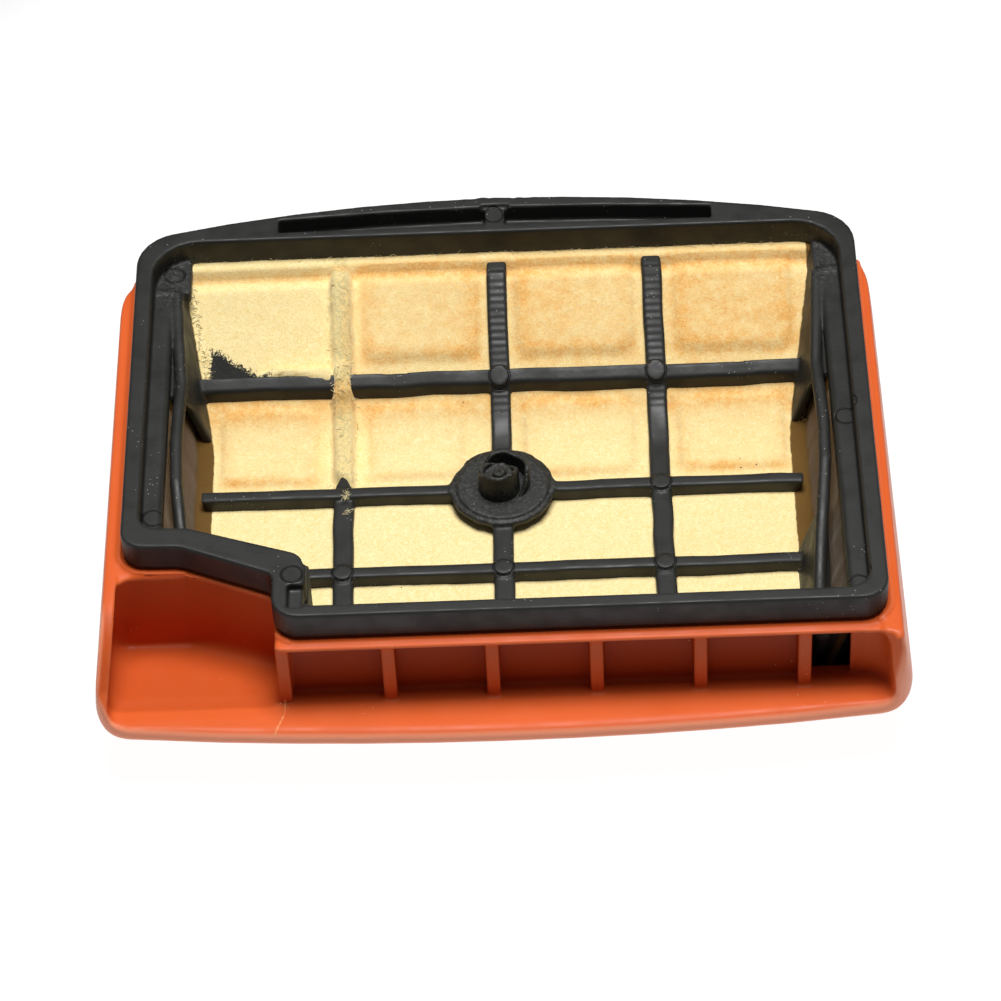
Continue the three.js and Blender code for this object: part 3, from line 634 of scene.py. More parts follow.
def grid_field(g):
    """The rib grid with its pins, the step marks on its ramp, and the disc."""
    slope = np.gradient(rib_top(g.y.ravel()), g.step)
    steep = np.sqrt(1 + slope ** 2).astype(np.float32)[None, :, None]
    top = rib_top(g.y.ravel()).astype(np.float32)[None, :, None]
    height = (g.z - top) / steep
    under = -(height + RIB_DEPTH + 0.8)
    room = np.abs(g.x) - side_line(g.z) - 0.8
    on_ramp = (g.y > BEND_END - 3) & (g.y < 62.5)
    step_marks = STEP_HEIGHT * np.abs(((g.y / STEP_PITCH) % 1) - 0.5) * on_ramp
    ribs = None
    for i, x in enumerate(LONG_RIBS):
        crest = height + 0.7 + (step_marks if i > 0 else 0)
        sway = 0.25 * (lumps(g.y, g.y * 0, 5, 20 + i) - 0.5)
        half = LONG_HALF * (ease(29 - g.y, 0, 7) if i == 0 else 1)
        rib = both(both(np.abs(g.x - x - sway) - half, crest, 0.6), under)
        ribs = rib if ribs is None else union(ribs, rib)
    ribs = both(ribs, between(g.y, -19, 64.8))
    left_end = np.where(g.y < -9, -33.0, -FAR_OUT)
    for i, y in enumerate(CROSS_RIBS):
        sway = 0.3 * (lumps(g.x, g.x * 0, 6, 30 + i) - 0.5)
        rib = both(both(np.abs(g.y - y - sway) - CROSS_HALF, height, 0.45), under)
        rib = both(rib, room)
        ribs = union(ribs, both(rib, left_end - g.x), 0.35)
    for x, y in GRID_PINS:
        reach = np.hypot(g.x - x, g.y - y)
        pin = both(reach - PIN_RADIUS, between(height, -RIB_DEPTH, 0.12), 0.15)
        ribs = union(ribs, pin, 0.2)
        ribs = cut(ribs, both(np.abs(reach - PIN_RADIUS + 0.15) - 0.15, -0.1 - height), 0.1)
    reach = np.hypot(g.x - DISC_X, g.y - DISC_Y)
    ragged = 0.35 * (lumps(g.x, g.y, 1.1, 12) - 0.5) + 0.3 * (lumps(g.x, g.y, 3, 13) - 0.5)
    disc = both(reach - DISC_RADIUS - ragged, between(g.z, RIB_TOP - 1.2, RIB_TOP + 0.15), 0.5)
    disc = union(disc, both(reach - DISC_RADIUS + 0.9, between(g.z, RIB_TOP - 1, RIB_TOP + 0.6), 0.3))
    groove = both(np.abs(reach - DISC_RADIUS + 0.95) - 0.12, RIB_TOP + 0.2 - g.z)
    return cut(union(ribs, disc, 0.5), groove, 0.1)


def wall_field(g):
    """The thin walls at the near end and round the notch."""
    near = both(between(g.y, NEAR_WALL_LOW[1], NEAR_WALL_HIGH[1]), between(g.x, -33, 58))
    notch_plan = [(-58, 0.2), (-58, -1.2), (-51.6, -1.2), (-33.9, -8.2), (-33.9, -19.4), (-32.7, -19.4),
                  (-32.7, -7.2), (-51.6, 0.2)]
    walls = union(near, polygon(notch_plan, g.x, g.y))
    return both(walls, between(g.z, RIB_TOP - RIB_DEPTH - 0.3, LEDGE_LOW[2] + 0.8), 0.3)


def frame_field(g):
    """The whole frame, apart from the broken post."""
    rim, ledge = rim_field(g)
    body = union(union(ledge, side_field(g), 0.5), union(grid_field(g), wall_field(g), 0.4), 0.5)
    return union(rim, body, 0.35)


# ---- Felt ----

FELT_FAR = 67.0
FELT_STEP = 0.45
FLAP_DEPTH = 2.5
FLAP_TOP = 28.6
FLAP_ROWS = 12
FELT_CORNER = [(-51.6, -0.4), (-33.4, -8.2)]
STEP_UP = (63.2, 64.5)
FOLD_HEIGHT = 2.4
LAP_HEIGHT = 3.0
PRESS_RISE = 0.75

# How stained each cell of the grid is, from the far row to the near one; 1 is a full stain.
STAINS = [[0.3, 0.85, 0.97, 1.1], [0.6, 0.5, 0.45, 0.6], [0.12, 0.12, 0.15, 0.3], [0.05, 0.05, 0.1, 0.15]]
# Pressed fields: low x, high x, low y, high y.
FIELDS = [(-24.3, -3.6, 49.2, 64.6), (3.4, 24.2, 49.2, 64.6), (31.9, 52.6, 49.2, 64.6),
          (-49.8, -32.9, 26.8, 41.6), (-23.4, -7.0, 27.2, 41.6), (4.2, 23.6, 27.0, 41.6),
          (31.8, 50.4, 27.0, 41.6)]
# Where black shows through the torn felt, beside the fourth cross rib.
BLEED = [(-51.9, 44), (-51.6, 51.4), (-50.2, 51.2), (-48.6, 50), (-46.5, 48.8), (-43.9, 47.4),
         (-41.6, 46.3), (-40.6, 45.6), (-40.6, 44)]


def field_distance(x, y):
    """Distance to the edge of the nearest pressed field, negative inside one."""
    nearest = np.full(np.shape(x), np.inf)
    for x0, x1, y0, y1 in FIELDS:
        nearest = np.minimum(nearest, both(between(x, x0, x1), between(y, y0, y1), 3.0))
    return nearest


def felt_top(x, y):
    """Top of the felt: it steps up at the far end, folds over one rib and laps on to another."""
    level = rib_top(y) - RIB_DEPTH - 0.1
    step_up = ease(y, *STEP_UP) * (RIM_BOTTOM - 0.05 - level)
    across = x - LONG_RIBS[0]
    over_rib = ease(2.1 - np.abs(across + 0.1), 0, 0.8) * ease(y + 0.9 * across, 24.0, 27.0)
    at_crossing = ease(3.4 - np.abs(y - CROSS_RIBS[3]), 0, 1.6)
    fold = (FOLD_HEIGHT + 1.0 * at_crossing) * over_rib * (1 - ease(y, 63.1, 64.7))
    pressed = PRESS_RISE * ease(-field_distance(x, y), -0.8, 0.8)
    soft = 0.3 * (lumps(x, y, 7, 1) - 0.5) + 0.14 * (lumps(x, y, 1.7, 2) - 0.5)
    lap_line = CROSS_RIBS[3] + 1.6 - 0.18 * (x + 42)
    lap = ease(x, -44, -41) * ease(-x, 29.6, 30.4) * ease(y - lap_line, 0, 0.7)
    lap = LAP_HEIGHT * lap * ease(CROSS_RIBS[3] + 3.4 - y, 0, 1.6)
    return level + step_up + fold + pressed + np.maximum(lap - pressed, 0) + soft


def stain_and_shade_at(x, y):
    """Stain on each point of the felt: by cell, and strongest along the edges of the pressed fields; with
    painted shade along the riser of the far step.
    """
    column = np.clip(np.interp(x, [-29, -27, -1, 1, 27, 29], [0, 1, 1, 2, 2, 3]), 0, 3)
    row = np.clip(np.interp(y, [2.5, 3.5, 21.5, 22.5, 44, 45], [3, 2, 2, 1, 1, 0]), 0, 3)
    cell = np.array(STAINS)[np.rint(row).astype(int), np.rint(column).astype(int)]
    amount = 0.22 + 0.3 * lumps(x, y, 9, 51)
    for x0, x1, y0, y1 in FIELDS:
        across = ease(x, x0 - 2, x0 + 2) * ease(-x, -x1 - 2, -x1 + 2)
        along = ease(y, y0 - 2, y0 + 2) * ease(-y, -y1 - 2, -y1 + 2)
        low_edge = np.exp(-((y - y0 - 0.4) / 1.0) ** 2) * across
        high_edge = np.exp(-((y - y1 + 0.2) / 1.7) ** 2) * across
        side_edges = (np.exp(-((x - x0 - 0.5) / 1.6) ** 2) + np.exp(-((x - x1 + 0.5) / 1.6) ** 2)) * along
        edges = 1.0 * low_edge + (0 if y0 > BEND_END else 0.6) * high_edge + 0.4 * side_edges
        amount = amount + edges * (0.35 + 1.0 * lumps(x, y, 5, 52))
        if y0 > BEND_END:
            amount = amount + 0.28 * across * along
    under_rib = np.exp(-((y - CROSS_RIBS[3] + 2.6) / 2.6) ** 2) * (y < CROSS_RIBS[3])
    amount = amount + 1.5 * under_rib * (0.5 + 0.6 * lumps(x, y, 6, 53))
    # Painted shade: a darker tan band along the riser where the felt steps up at the far end.
    riser_shade = np.exp(-((y - 63.4) / 0.8) ** 2) * (0.6 + 0.4 * ease(x, -26, -23))
    return np.clip(cell * amount + riser_shade, 0, 1)


def build_felt(material):
    """One sheet of felt, its sides and near end folded up behind the frame."""
    floor_u = np.linspace(-1, 1, int(2 * BASKET_HALF / FELT_STEP))
    rows = np.arange(-19.6, FELT_FAR, FELT_STEP)
    turn = np.linspace(0, 1, FLAP_ROWS + 1)[1:]
    u = np.concatenate([-1 - turn[::-1], floor_u, 1 + turn])
    v = np.concatenate([-turn[::-1], np.arange(len(rows))])
    cross, along = np.meshgrid(u, v, indexing="ij")
    y = np.where(along < 0, rows[0] + 0.6 * along, np.interp(along, np.arange(len(rows)), rows))
    level = rib_top(y) - RIB_DEPTH
    half = side_line(level) + FLAP_DEPTH + 0.35 * (lumps(y, y * 0, 2.4, 5) - 0.5)
    x = np.clip(cross, -1, 1) * half
    z = felt_top(x, y)
    side_turn = np.clip(np.abs(cross) - 1, 0, 1)
    near_turn = np.clip(-along, 0, 1)
    rise = np.maximum(FLAP_TOP - z, 0.3)
    z = z + rise * np.maximum(side_turn, near_turn)
    x = x + np.sign(cross) * side_turn * rise * SIDE_SLOPE
    front = half_plane(x, y, *FELT_CORNER)
    keep = ~((front < 0) & (x < -33.0)) & ~((near_turn > 0) & (np.abs(x) > 50))
    points = np.stack([x, y, z], -1)
    normal = np.cross(np.gradient(points, axis=0), np.gradient(points, axis=1))
    normal /= np.maximum(np.linalg.norm(normal, axis=-1, keepdims=True), 1e-9)
    count = x.size
    both_sides = np.concatenate([points.reshape(-1, 3), (points - normal * FELT_THICK).reshape(-1, 3)])
    index = np.arange(count).reshape(x.shape)
    quads = np.stack([index[:-1, :-1], index[1:, :-1], index[1:, 1:], index[:-1, 1:]], -1).reshape(-1, 4)
    quads = quads[keep.ravel()[quads].all(1)]
    edges = np.concatenate([quads[:, [k, (k + 1) % 4]] for k in range(4)])
    code = edges[:, 0].astype(np.int64) * count + edges[:, 1]
    back = edges[:, 1].astype(np.int64) * count + edges[:, 0]
    border = edges[~np.isin(code, back)]
    walls = np.stack([border[:, 1], border[:, 0], border[:, 0] + count, border[:, 1] + count], 1)
    faces = np.concatenate([quads, quads[:, ::-1] + count, walls])
    used = np.unique(faces)
    renumber = np.full(2 * count, -1)
    renumber[used] = np.arange(len(used))
    piece = new_piece("felt_sheet", both_sides[used], renumber[faces], material, "filter_insert",
                      ["felt_floor", "felt_side_left", "felt_side_right", "felt_near"])
    # Felt behind the frame's sides and near end, which the material darkens as painted shade.
    beyond = np.abs(x) - side_line(level) + 0.35
    shade_behind_frame = np.maximum(beyond, np.where(near_turn > 0, 1.0, -1.0))
    rib_near = np.abs(x - LONG_RIBS[0] + 0.1) - 1.4
    marks = {
        "stain_and_shade": stain_and_shade_at(x, y),
        "shade_behind_frame": np.clip(shade_behind_frame, -3, 3),
        "bleed": np.clip(polygon(BLEED, x, y), -9, 9),
        "over_rib": np.clip(np.where(y > 20, rib_near, 5), -5, 5),
    }
    for name, values in marks.items():
        point_values(piece, name, np.tile(values.ravel(), 2)[used])
    return piece


# Tufts of loose fibre: x, y, spread, number of fibres and height above the felt.
TUFTS = [(54.0, 38, 0.7, 26, 0), (-27.5, 20.8, 0.35, 34, 2.8), (-27.2, 17.8, 0.3, 22, 2.0),
         (-28, 43.8, 1.4, 30, 0), (53.0, -3, 0.8, 8, 0)]
FIBRE_HALF = 0.05
FIBRE_RIDGE = 0.07
FIBRE_SEGMENTS = 4


def build_fibres(material):
    """Loose fibres: along the felt's far edge, over the covered rib and at two torn spots."""
    rng = np.random.default_rng(3)
    seeds = []
    for x in rng.uniform(-54, 56, 420):
        seeds.append((x, FELT_FAR - rng.uniform(0, 1.0), 0.9, 0))
    for y in rng.uniform(24, 62, 140):
        seeds.append((LONG_RIBS[0] + rng.choice([-1.8, 1.7]) + rng.normal(0, 0.3), y, 0.8, 0))
    for y in rng.uniform(47, 62, 110):
        seeds.append((-52.6 - 0.16 * (y - 47) + rng.normal(0, 0.25), y, 0.8, 0))
    for x, y, spread, amount, lift in TUFTS:
        for _ in range(amount):
            seeds.append((x + rng.normal(0, spread), y + rng.normal(0, spread * 1.4), 1.0, lift))
    points, faces = [], []
    for x, y, reach, lift in seeds:
        heading = rng.uniform(0, 2 * math.pi)
        way = np.array([math.cos(heading), math.sin(heading), rng.uniform(0.1, 0.7)])
        curl = rng.normal(0, 0.5 + 0.9 * lift, 3)
        side = np.array([-way[1], way[0], 0]) * FIBRE_HALF
        here = np.array([x, y, float(felt_top(np.array(x), np.array(y))) + 0.03 + lift])
        length = reach * rng.uniform(0.5, 1.3) / FIBRE_SEGMENTS
        first = len(points)
        for k in range(FIBRE_SEGMENTS + 1):
            points.extend([here + side, here - side, here + np.array([0, 0, FIBRE_RIDGE])])
            way = way + curl * 0.25
            here = here + way / np.linalg.norm(way) * length
        for k in range(FIBRE_SEGMENTS):
            for c in range(3):
                a, b = first + 3 * k + c, first + 3 * k + (c + 1) % 3
                faces.append((a, b, b + 3, a + 3))
    return new_piece("felt_fibres", points, faces, material, "filter_insert")


# ---- Broken boss ----

POST_RADIUS = 3.5
POST_BORE = 2.6
COLLAR_RADIUS = 4.35
COLLAR_HALF = 0.4


def stub_field(g):
    """A hollow post, snapped off low at the back, with part of a thin collar behind it."""
    foot = RIB_TOP + 0.2
    dx, dy = g.x - DISC_X + 0.6, g.y - DISC_Y + 0.7
    angle = np.arctan2(dy, dx)
    waves = lumps(angle * 1.3, angle * 0, 1.0, 41) + 0.4 * lumps(angle * 3, angle * 0, 1.0, 42)
    post_top = foot + 4.9 - 0.42 * dy + 0.9 * (waves - 0.7)
    reach = np.hypot(dx, dy)
    post = both(reach - POST_RADIUS - 0.04 * (post_top - g.z), g.z - post_top, 0.7)
    lump = np.sqrt((dx - 0.2) ** 2 + (dy + 0.6) ** 2 + (g.z - foot - 4.6) ** 2) - 1.3
    hollow = both(reach - POST_BORE, foot + 3.4 - g.z)
    post = cut(post, cut(hollow, lump, 0.4), 0.4)
    cx, cy = g.x - DISC_X - 0.1, g.y - DISC_Y - 0.3
    turn = np.arctan2(cy, cx)
    behind = ease(np.cos(turn - 0.9), -0.35, 0.6)
    collar_top = foot + 0.1 + 4.3 * behind + 1.2 * behind * (waves - 0.7)
    collar = both(np.abs(np.hypot(cx, cy) - COLLAR_RADIUS) - COLLAR_HALF, g.z - collar_top, 0.3)
    stub = union(post, collar, 0.25)
    return both(stub, foot - 0.5 - g.z)


# ---- Materials ----


def new_material(name):
    """A new material, its shader, and a builder for its nodes."""
    material = bpy.data.materials.new(name)
    material.use_nodes = True
    tree = material.node_tree
    return material, tree.nodes["Principled BSDF"], Nodes(tree)


class Nodes:
    """Short calls for building a shader."""

    def __init__(self, tree):
        self.tree = tree

    def add(self, kind, settings=None, **inputs):
        node = self.tree.nodes.new(kind)
        for key, value in (settings or {}).items():
            setattr(node, key, value)
        self.fill(node, **inputs)
        return node

    def fill(self, node, **inputs):
        """Sets or links inputs by name, with _ for a space."""
        for key, value in inputs.items():
            self.put(node, key.replace("_", " "), value)

    def give(self, socket, value):
        """Links or sets a socket."""
        if isinstance(value, bpy.types.NodeSocket):
            self.tree.links.new(value, socket)
        else:
            socket.default_value = value

    def put(self, node, key, value):
        """Sets or links an input, by name or by place."""
        self.give(node.inputs[key], value)

    def point(self):
        return self.add("ShaderNodeTexCoord").outputs["Object"]

    def noise(self, scale, detail=2.0, rough=0.5, distortion=0.0):
        node = self.add("ShaderNodeTexNoise", Scale=scale, Detail=detail, Roughness=rough,
                        Distortion=distortion, Vector=self.point())
        return node.outputs["Fac"]

    def value(self, name):
        return self.add("ShaderNodeAttribute", {"attribute_name": name}).outputs["Fac"]

    def math(self, operation, a, b=0.0):
        node = self.add("ShaderNodeMath", {"operation": operation})
        self.put(node, 0, a)
        self.put(node, 1, b)
        return node.outputs[0]

    def times(self, a, b):
        return self.math("MULTIPLY", a, b)

    def ramp(self, value, low, high, out_low=0.0, out_high=1.0):
        """A smooth ramp of a value, from low and high to out_low and out_high."""
        node = self.add("ShaderNodeMapRange", {"interpolation_type": "SMOOTHSTEP"}, Value=value)
        self.fill(node, From_Min=low, From_Max=high, To_Min=out_low, To_Max=out_high)
        return node.outputs["Result"]

    def mix(self, share, a, b):
        node = self.add("ShaderNodeMix", {"data_type": "RGBA"})
        for key, v in (("Factor_Float", share), ("A_Color", a), ("B_Color", b)):
            self.give(next(i for i in node.inputs if i.identifier == key), v)
        return next(o for o in node.outputs if o.identifier == "Result_Color")

    def specks(self, scale, size, amount):
        """Small scattered dots: 1 on a dot."""
        cells = self.add("ShaderNodeTexVoronoi", Scale=scale, Vector=self.point())
        dots = self.ramp(cells.outputs["Distance"], size, size * 0.6)
        chosen = self.ramp(self.noise(scale * 0.11, 1.0), 1 - amount, 1 - amount + 0.03)
        return self.times(dots, chosen)

    def bump(self, height, strength, distance, normal=None):
        node = self.add("ShaderNodeBump", Height=height, Strength=strength, Distance=distance)
        if normal:
            self.put(node, "Normal", normal)
        return node.outputs["Normal"]


def colour(r, g, b):
    return (r, g, b, 1.0)


def orange_plastic():
    material, shader, n = new_material("orange_plastic")
    cloud = n.noise(60, 3)
    base = n.mix(cloud, colour(0.64, 0.103, 0.021), colour(0.75, 0.130, 0.030))
    # Painted highlight: the cover's outer skin is mixed towards a paler, pinker orange, for light from the
    # sides and below.
    base = n.mix(n.times(n.value("outside_highlight"), 0.85), base, colour(1.0, 0.38, 0.23))
    # Painted shade: the walls under the header, deepest in the bays, get a darker, redder orange for the
    # shade there.
    bay_shade_colour = n.mix(cloud, colour(0.27, 0.030, 0.004), colour(0.36, 0.044, 0.007))
    base = n.mix(n.value("bay_shade"), base, bay_shade_colour)
    # Lighter on edges that stand out: edge wear, and a painted highlight along the rounded edges.
    edge_lightening = n.ramp(n.value("edge_wear_and_sheen"), 0.08, 0.5)
    base = n.mix(n.times(edge_lightening, 0.35), base, colour(0.72, 0.2, 0.09))
    base = n.mix(n.specks(900, 0.10, 0.36), base, colour(0.8, 0.5, 0.36))
    flow = n.ramp(n.value("flow_line"), 0.24, 0.05)
    base = n.mix(n.times(flow, 0.8), base, colour(0.86, 0.36, 0.15))
    rough = n.ramp(n.noise(180, 4), 0.3, 0.7, 0.36, 0.5)
    grain = n.bump(n.noise(2600, 2), 0.12, 0.0001)
    wavy = n.bump(n.noise(45, 2), 0.12, 0.0015, grain)
    n.fill(shader, Base_Color=base, Roughness=rough, Specular_IOR_Level=0.17, Normal=wavy)
    return material


def black_plastic():
    material, shader, n = new_material("black_plastic")
    cloud = n.noise(90, 4, 0.6)
    base = n.mix(cloud, colour(0.010, 0.0105, 0.0098), colour(0.022, 0.022, 0.020))
    edge_lightening = n.ramp(n.value("edge_wear_and_sheen"), 0.1, 0.6)
    base = n.mix(n.times(edge_lightening, 0.5), base, colour(0.05, 0.05, 0.048))
    # Painted shade: a dark ring round each pin mark, for the shade in the narrow groove at its edge.
    ring = n.ramp(n.math("ABSOLUTE", n.math("SUBTRACT", n.value("pin"), 1.8)), 0.26, 0.06)
    base = n.mix(n.times(ring, 0.85), base, colour(0.002, 0.002, 0.002))
    scuffed = n.times(n.value("scuff"), n.ramp(n.noise(1500, 4, 0.7), 0.5, 0.62))
    base = n.mix(n.times(scuffed, 0.6), base, colour(0.11, 0.11, 0.10))
    base = n.mix(n.specks(1100, 0.13, 0.42), base, colour(0.30, 0.29, 0.27))
    rough = n.ramp(n.noise(240, 4), 0.3, 0.7, 0.42, 0.6)
    grain = n.bump(n.noise(1900, 3), 0.22, 0.00012)
    torn = n.bump(n.noise(1200, 4, 0.7), n.times(n.value("scuff"), 0.9), 0.0004, grain)
    sunk = n.bump(n.math("SUBTRACT", 1.0, ring), 0.8, 0.0003, torn)
    wavy = n.bump(n.noise(70, 3), 0.16, 0.001, sunk)
    n.fill(shader, Base_Color=base, Roughness=rough, Specular_IOR_Level=0.35, Normal=wavy)
    return material


def felt_material():
    material, shader, n = new_material("felt")
    fine = n.noise(2600, 3, 0.7, distortion=1.2)
    hairs = n.noise(900, 4, 0.75, distortion=2.5)
    blotch = n.noise(420, 6, 0.75)
    cloud = n.noise(60, 2)
    pale = n.mix(n.ramp(hairs, 0.3, 0.7), colour(0.86, 0.66, 0.27), colour(0.98, 0.86, 0.49))
    tan = n.mix(n.ramp(fine, 0.35, 0.7), colour(0.78, 0.38, 0.10), colour(0.93, 0.60, 0.21))
    speckle = n.ramp(blotch, 0.3, 0.7, 0.45, 1.25)
    speckle = n.times(speckle, n.ramp(cloud, 0.3, 0.7, 0.8, 1.1))
    # The stain value also carries the painted shade on the far step's riser.
    amount = n.math("MINIMUM", n.times(n.value("stain_and_shade"), speckle), 1.0)
    base = n.mix(amount, pale, tan)
    greenish = n.times(n.ramp(n.value("over_rib"), 0.4, -0.6), n.ramp(hairs, 0.42, 0.6))
    base = n.mix(n.times(greenish, 0.5), base, colour(0.22, 0.19, 0.06))
    # Painted shade: the felt behind the frame, where frame and cover keep the light off, is darkened to deep
    # brown.
    shade_behind_frame = n.ramp(n.math("ADD", n.value("shade_behind_frame"), n.times(n.noise(500, 3), 0.5)), 0.2, 0.5)
    base = n.mix(shade_behind_frame, base, n.mix(cloud, colour(0.085, 0.045, 0.010), colour(0.19, 0.10, 0.022)))
    torn = n.math("ADD", n.value("bleed"), n.times(n.math("SUBTRACT", hairs, 0.5), 5.0))
    torn_black = n.ramp(torn, 0.25, -0.05)
    base = n.mix(torn_black, base, colour(0.018, 0.018, 0.016))
    base = n.mix(n.specks(700, 0.12, 0.3), base, colour(0.06, 0.045, 0.02))
    rough = n.mix(torn_black, colour(0.95, 0.95, 0.95), colour(0.5, 0.5, 0.5))
    fibres = n.bump(torn_black, 0.8, 0.0005, n.bump(hairs, 0.45, 0.0004))
    fuzz = n.bump(fine, 0.3, 0.0002, fibres)
    n.fill(shader, Base_Color=base, Roughness=rough, Specular_IOR_Level=0.12, Sheen_Weight=0.15, Normal=fuzz)
    return material


def fibre_material():
    material, shader, n = new_material("felt_fibre")
    base = n.mix(n.noise(900, 2), colour(0.88, 0.72, 0.32), colour(0.99, 0.93, 0.70))
    n.fill(shader, Base_Color=base, Roughness=n.ramp(n.noise(400, 1), 0.3, 0.7, 0.8, 0.95))
    return material


def floor_material():
    """A pale sheet, lit from below: bright round the object, grey away from it."""
    material, shader, n = new_material("floor_paper")
    centred = n.add("ShaderNodeVectorMath", {"operation": "SUBTRACT"}).outputs["Vector"]
    n.put(centred.node, 0, n.point())
    n.put(centred.node, 1, (0.0, 0.015, 0.0))
    away = n.add("ShaderNodeVectorMath", {"operation": "LENGTH"}).outputs["Value"]
    n.put(away.node, 0, centred)
    bright = n.ramp(away, 0.150, 0.24, 1.0, 0.12)
    base = n.mix(n.noise(30, 3), colour(0.07, 0.07, 0.07), colour(0.09, 0.09, 0.09))
    n.fill(shader, Base_Color=base, Roughness=0.9, Specular_IOR_Level=0.1)
    n.fill(shader, Emission_Color=colour(1, 1, 1), Emission_Strength=n.times(bright, 0.97))
    return material


# ---- Pieces ----

cover_plastic = orange_plastic()
frame_plastic = black_plastic()
felt_cloth = felt_material()
STEP = 0.4  # spacing of the sample points in the cover
COVER_NODES = ["housing_shell", "pocket_wall", "intake_back_wall", "intake_header_bar", "intake_cheek",
               *[f"intake_vane_{i}" for i in range(1, 6)]]
FRAME_NODES = ["seal_rim", "inner_ledge", "side_frame_left", "side_frame_right", "side_bar_left",
               "side_bar_right", "near_wall", "notch_wall", "centre_disc",
               *[f"long_rib_{i}" for i in (1, 2, 3)], *[f"cross_rib_{i}" for i in (1, 2, 3, 4)]]

cover_grid = Grid((-71.5, -36.5, -1.2), (71, 76, 31), STEP)
moulding("cover_moulding", cover_grid, cover_field(cover_grid), cover_plastic, "cover",
         COVER_NODES)
frame_grid = Grid((-66, -26.5, 9.5), (66, 77, 35.2), STEP * 0.9)
moulding("frame_moulding", frame_grid, frame_field(frame_grid), frame_plastic, "filter_insert",
         FRAME_NODES)
stub_grid = Grid((DISC_X - 6, DISC_Y - 6, RIB_TOP - 1), (DISC_X + 6, DISC_Y + 6, RIB_TOP + 8), STEP * 0.5)
moulding("broken_boss", stub_grid, stub_field(stub_grid), frame_plastic, "filter_insert",
         ["boss_stub"])
build_felt(felt_cloth)
build_fibres(fibre_material())

FLOW_LINE = [(-37.3, -26.2), (-37.5, -29.0), (-38.4, -31.4), (-39.4, -33.8)]
NOT_NEAR = 9.0


def places(name):
    """A piece, and the x, y and z of its points in millimetres from the datum."""
    piece = bpy.data.objects[name]
    flat = np.empty(len(piece.data.vertices) * 3, np.float32)
    piece.data.vertices.foreach_get("co", flat)
    return piece, (flat.reshape(-1, 3) / MM - DATUM).T


def mark_black(name):
    """Marks the distance to the pins, for the painted shade ring at their edges, and how scuffed the piece
    is: at the frame's far corners and on the disc.
    """
    piece, (x, y, z) = places(name)
    side = np.abs(x)
    corner = 0.5 * ease(side, 50, 54) * ease(61.5 - side, 0, 1) * ease(y, 50, 58)
    corner = corner * ease(LEDGE_TOP + 1 - z, 0, 0.5)
    disc = ease(DISC_RADIUS + 1 - np.hypot(x - DISC_X, y - DISC_Y), 0, 1)
    point_values(piece, "scuff", np.maximum(corner, 0.45 * disc))
    pins = GRID_PINS + LEDGE_PINS + RIM_PINS
    point_values(piece, "pin", np.minimum.reduce([np.hypot(x - px, y - py) for px, py in pins]))


def mark_orange(name):
    """Marks the outer skin for a painted highlight, the walls under the header for painted shade, and the
    pale flow line on the lip.
    """
    piece, (x, y, z) = places(name)
    skin_depth = np.maximum(bowl_shape(x, y, z), polygon(cover_plan(False), x, y))
    # The outer skin, for the painted highlight in the material.
    outside_highlight = ease(skin_depth, -0.9, -0.2) * ease(COVER_TOP - z, 0.2, 1.5)
    point_values(piece, "outside_highlight", outside_highlight)
    # Painted shade under the header: full on the bays' walls, and at least a third as strong under the rest
    # of it.
    in_bay = ease(y, VANE_NEAR + 0.2, VANE_NEAR + 1.2)
    in_bay = in_bay * ease(x, CHEEK_RIGHT - 0.5, CHEEK_RIGHT + 0.5)
    in_bay = in_bay * ease(58.5 - x, 0, 2) * ease(z, LIP_TOP - 0.5, LIP_TOP + 1.5)
    under_header = ease(HEAD_LOW[2] + 0.6 - z, 0, 0.8) * ease(y, VANE_NEAR - 1, VANE_NEAR)
    point_values(piece, "bay_shade", np.maximum(in_bay, 0.35) * under_header * (1 - outside_highlight))
    nearest = np.full(len(x), NOT_NEAR)
    for (x0, y0), (x1, y1) in zip(FLOW_LINE, FLOW_LINE[1:]):
        dx, dy = x1 - x0, y1 - y0
        t = np.clip(((x - x0) * dx + (y - y0) * dy) / (dx ** 2 + dy ** 2), 0, 1)
        nearest = np.minimum(nearest, np.hypot(x - x0 - t * dx, y - y0 - t * dy))
    point_values(piece, "flow_line", np.where(np.abs(z - LIP_TOP) < 1.2, nearest, NOT_NEAR))


for black_piece in ("frame_moulding", "broken_boss"):
    mark_black(black_piece)
mark_orange("cover_moulding")

# ---- Stage, lights and camera ----

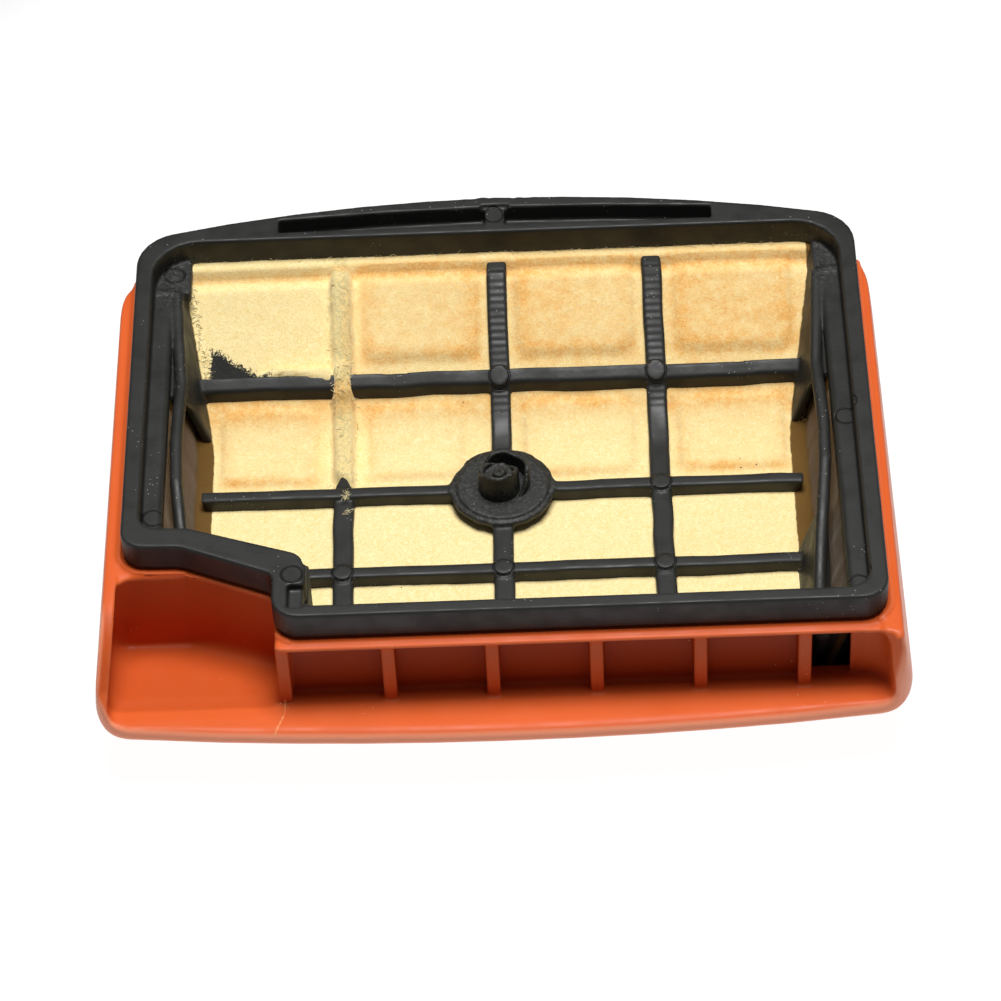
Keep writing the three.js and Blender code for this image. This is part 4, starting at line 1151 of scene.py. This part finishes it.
FLOOR_SIZE = 6
LIGHT_PLACE = (0.05, 0.06, 0.95)
LIGHT_SIZE = (0.50, 0.34)
LIGHT_POWER = 11.5
WORLD_STRENGTH = 0.07
CAMERA_TILT = 47
CAMERA_ROLL = 3.07
CAMERA_TURN = -1.43
CAMERA_DISTANCE = 0.730
CAMERA_LENS = 155.1
CAMERA_AIM = 0.12  # millimetres to the right of the rim's middle


def build_floor():
    """A large flat floor, kept out of the part."""
    bpy.ops.mesh.primitive_plane_add(size=FLOOR_SIZE, location=(0, 0, 0))
    floor = bpy.context.object
    floor.name = "floor"
    floor.data.materials.append(floor_material())


def area_light(name, place, target, size, power):
    """A soft rectangular lamp, turned to a target."""
    data = bpy.data.lights.new(name, "AREA")
    data.shape = "RECTANGLE"
    data.size, data.size_y = size
    data.energy = power
    light = new_object(name, data)
    light.location = place
    light.rotation_euler = (Vector(target) - Vector(place)).to_track_quat("-Z", "Y").to_euler()


def build_camera():
    """The camera stands in front of the intake and looks down on the rim."""
    tilt, roll, turn = (math.radians(a) for a in (CAMERA_TILT, CAMERA_ROLL, CAMERA_TURN))
    target = Vector(((DATUM[0] + CAMERA_AIM) * MM, DATUM[1] * MM, HEIGHT * MM))
    turned = Matrix.Rotation(-turn, 3, "Z")
    right = turned @ Vector((1, 0, 0))
    forward = turned @ Vector((0, math.cos(tilt), -math.sin(tilt)))
    up = turned @ Vector((0, math.sin(tilt), math.cos(tilt)))
    rolled_right = right * math.cos(roll) - up * math.sin(roll)
    rolled_up = right * math.sin(roll) + up * math.cos(roll)
    data = bpy.data.cameras.new("camera")
    data.sensor_width = 36
    data.lens = CAMERA_LENS
    data.clip_start, data.clip_end = 0.01, 20
    camera = new_object("camera", data)
    place = target - forward * CAMERA_DISTANCE
    axes = Matrix((rolled_right, rolled_up, -forward)).transposed().to_4x4()
    camera.matrix_world = Matrix.Translation(place) @ axes
    bpy.context.scene.camera = camera


build_floor()
area_light("overhead", LIGHT_PLACE, (0, 0, 0), LIGHT_SIZE, LIGHT_POWER)
world = bpy.data.worlds.new("studio")
world.use_nodes = True
background = world.node_tree.nodes["Background"]
background.inputs["Color"].default_value = (1, 1, 1, 1)
background.inputs["Strength"].default_value = WORLD_STRENGTH
bpy.context.scene.world = world
bpy.context.scene.view_settings.view_transform = "Standard"
build_camera()
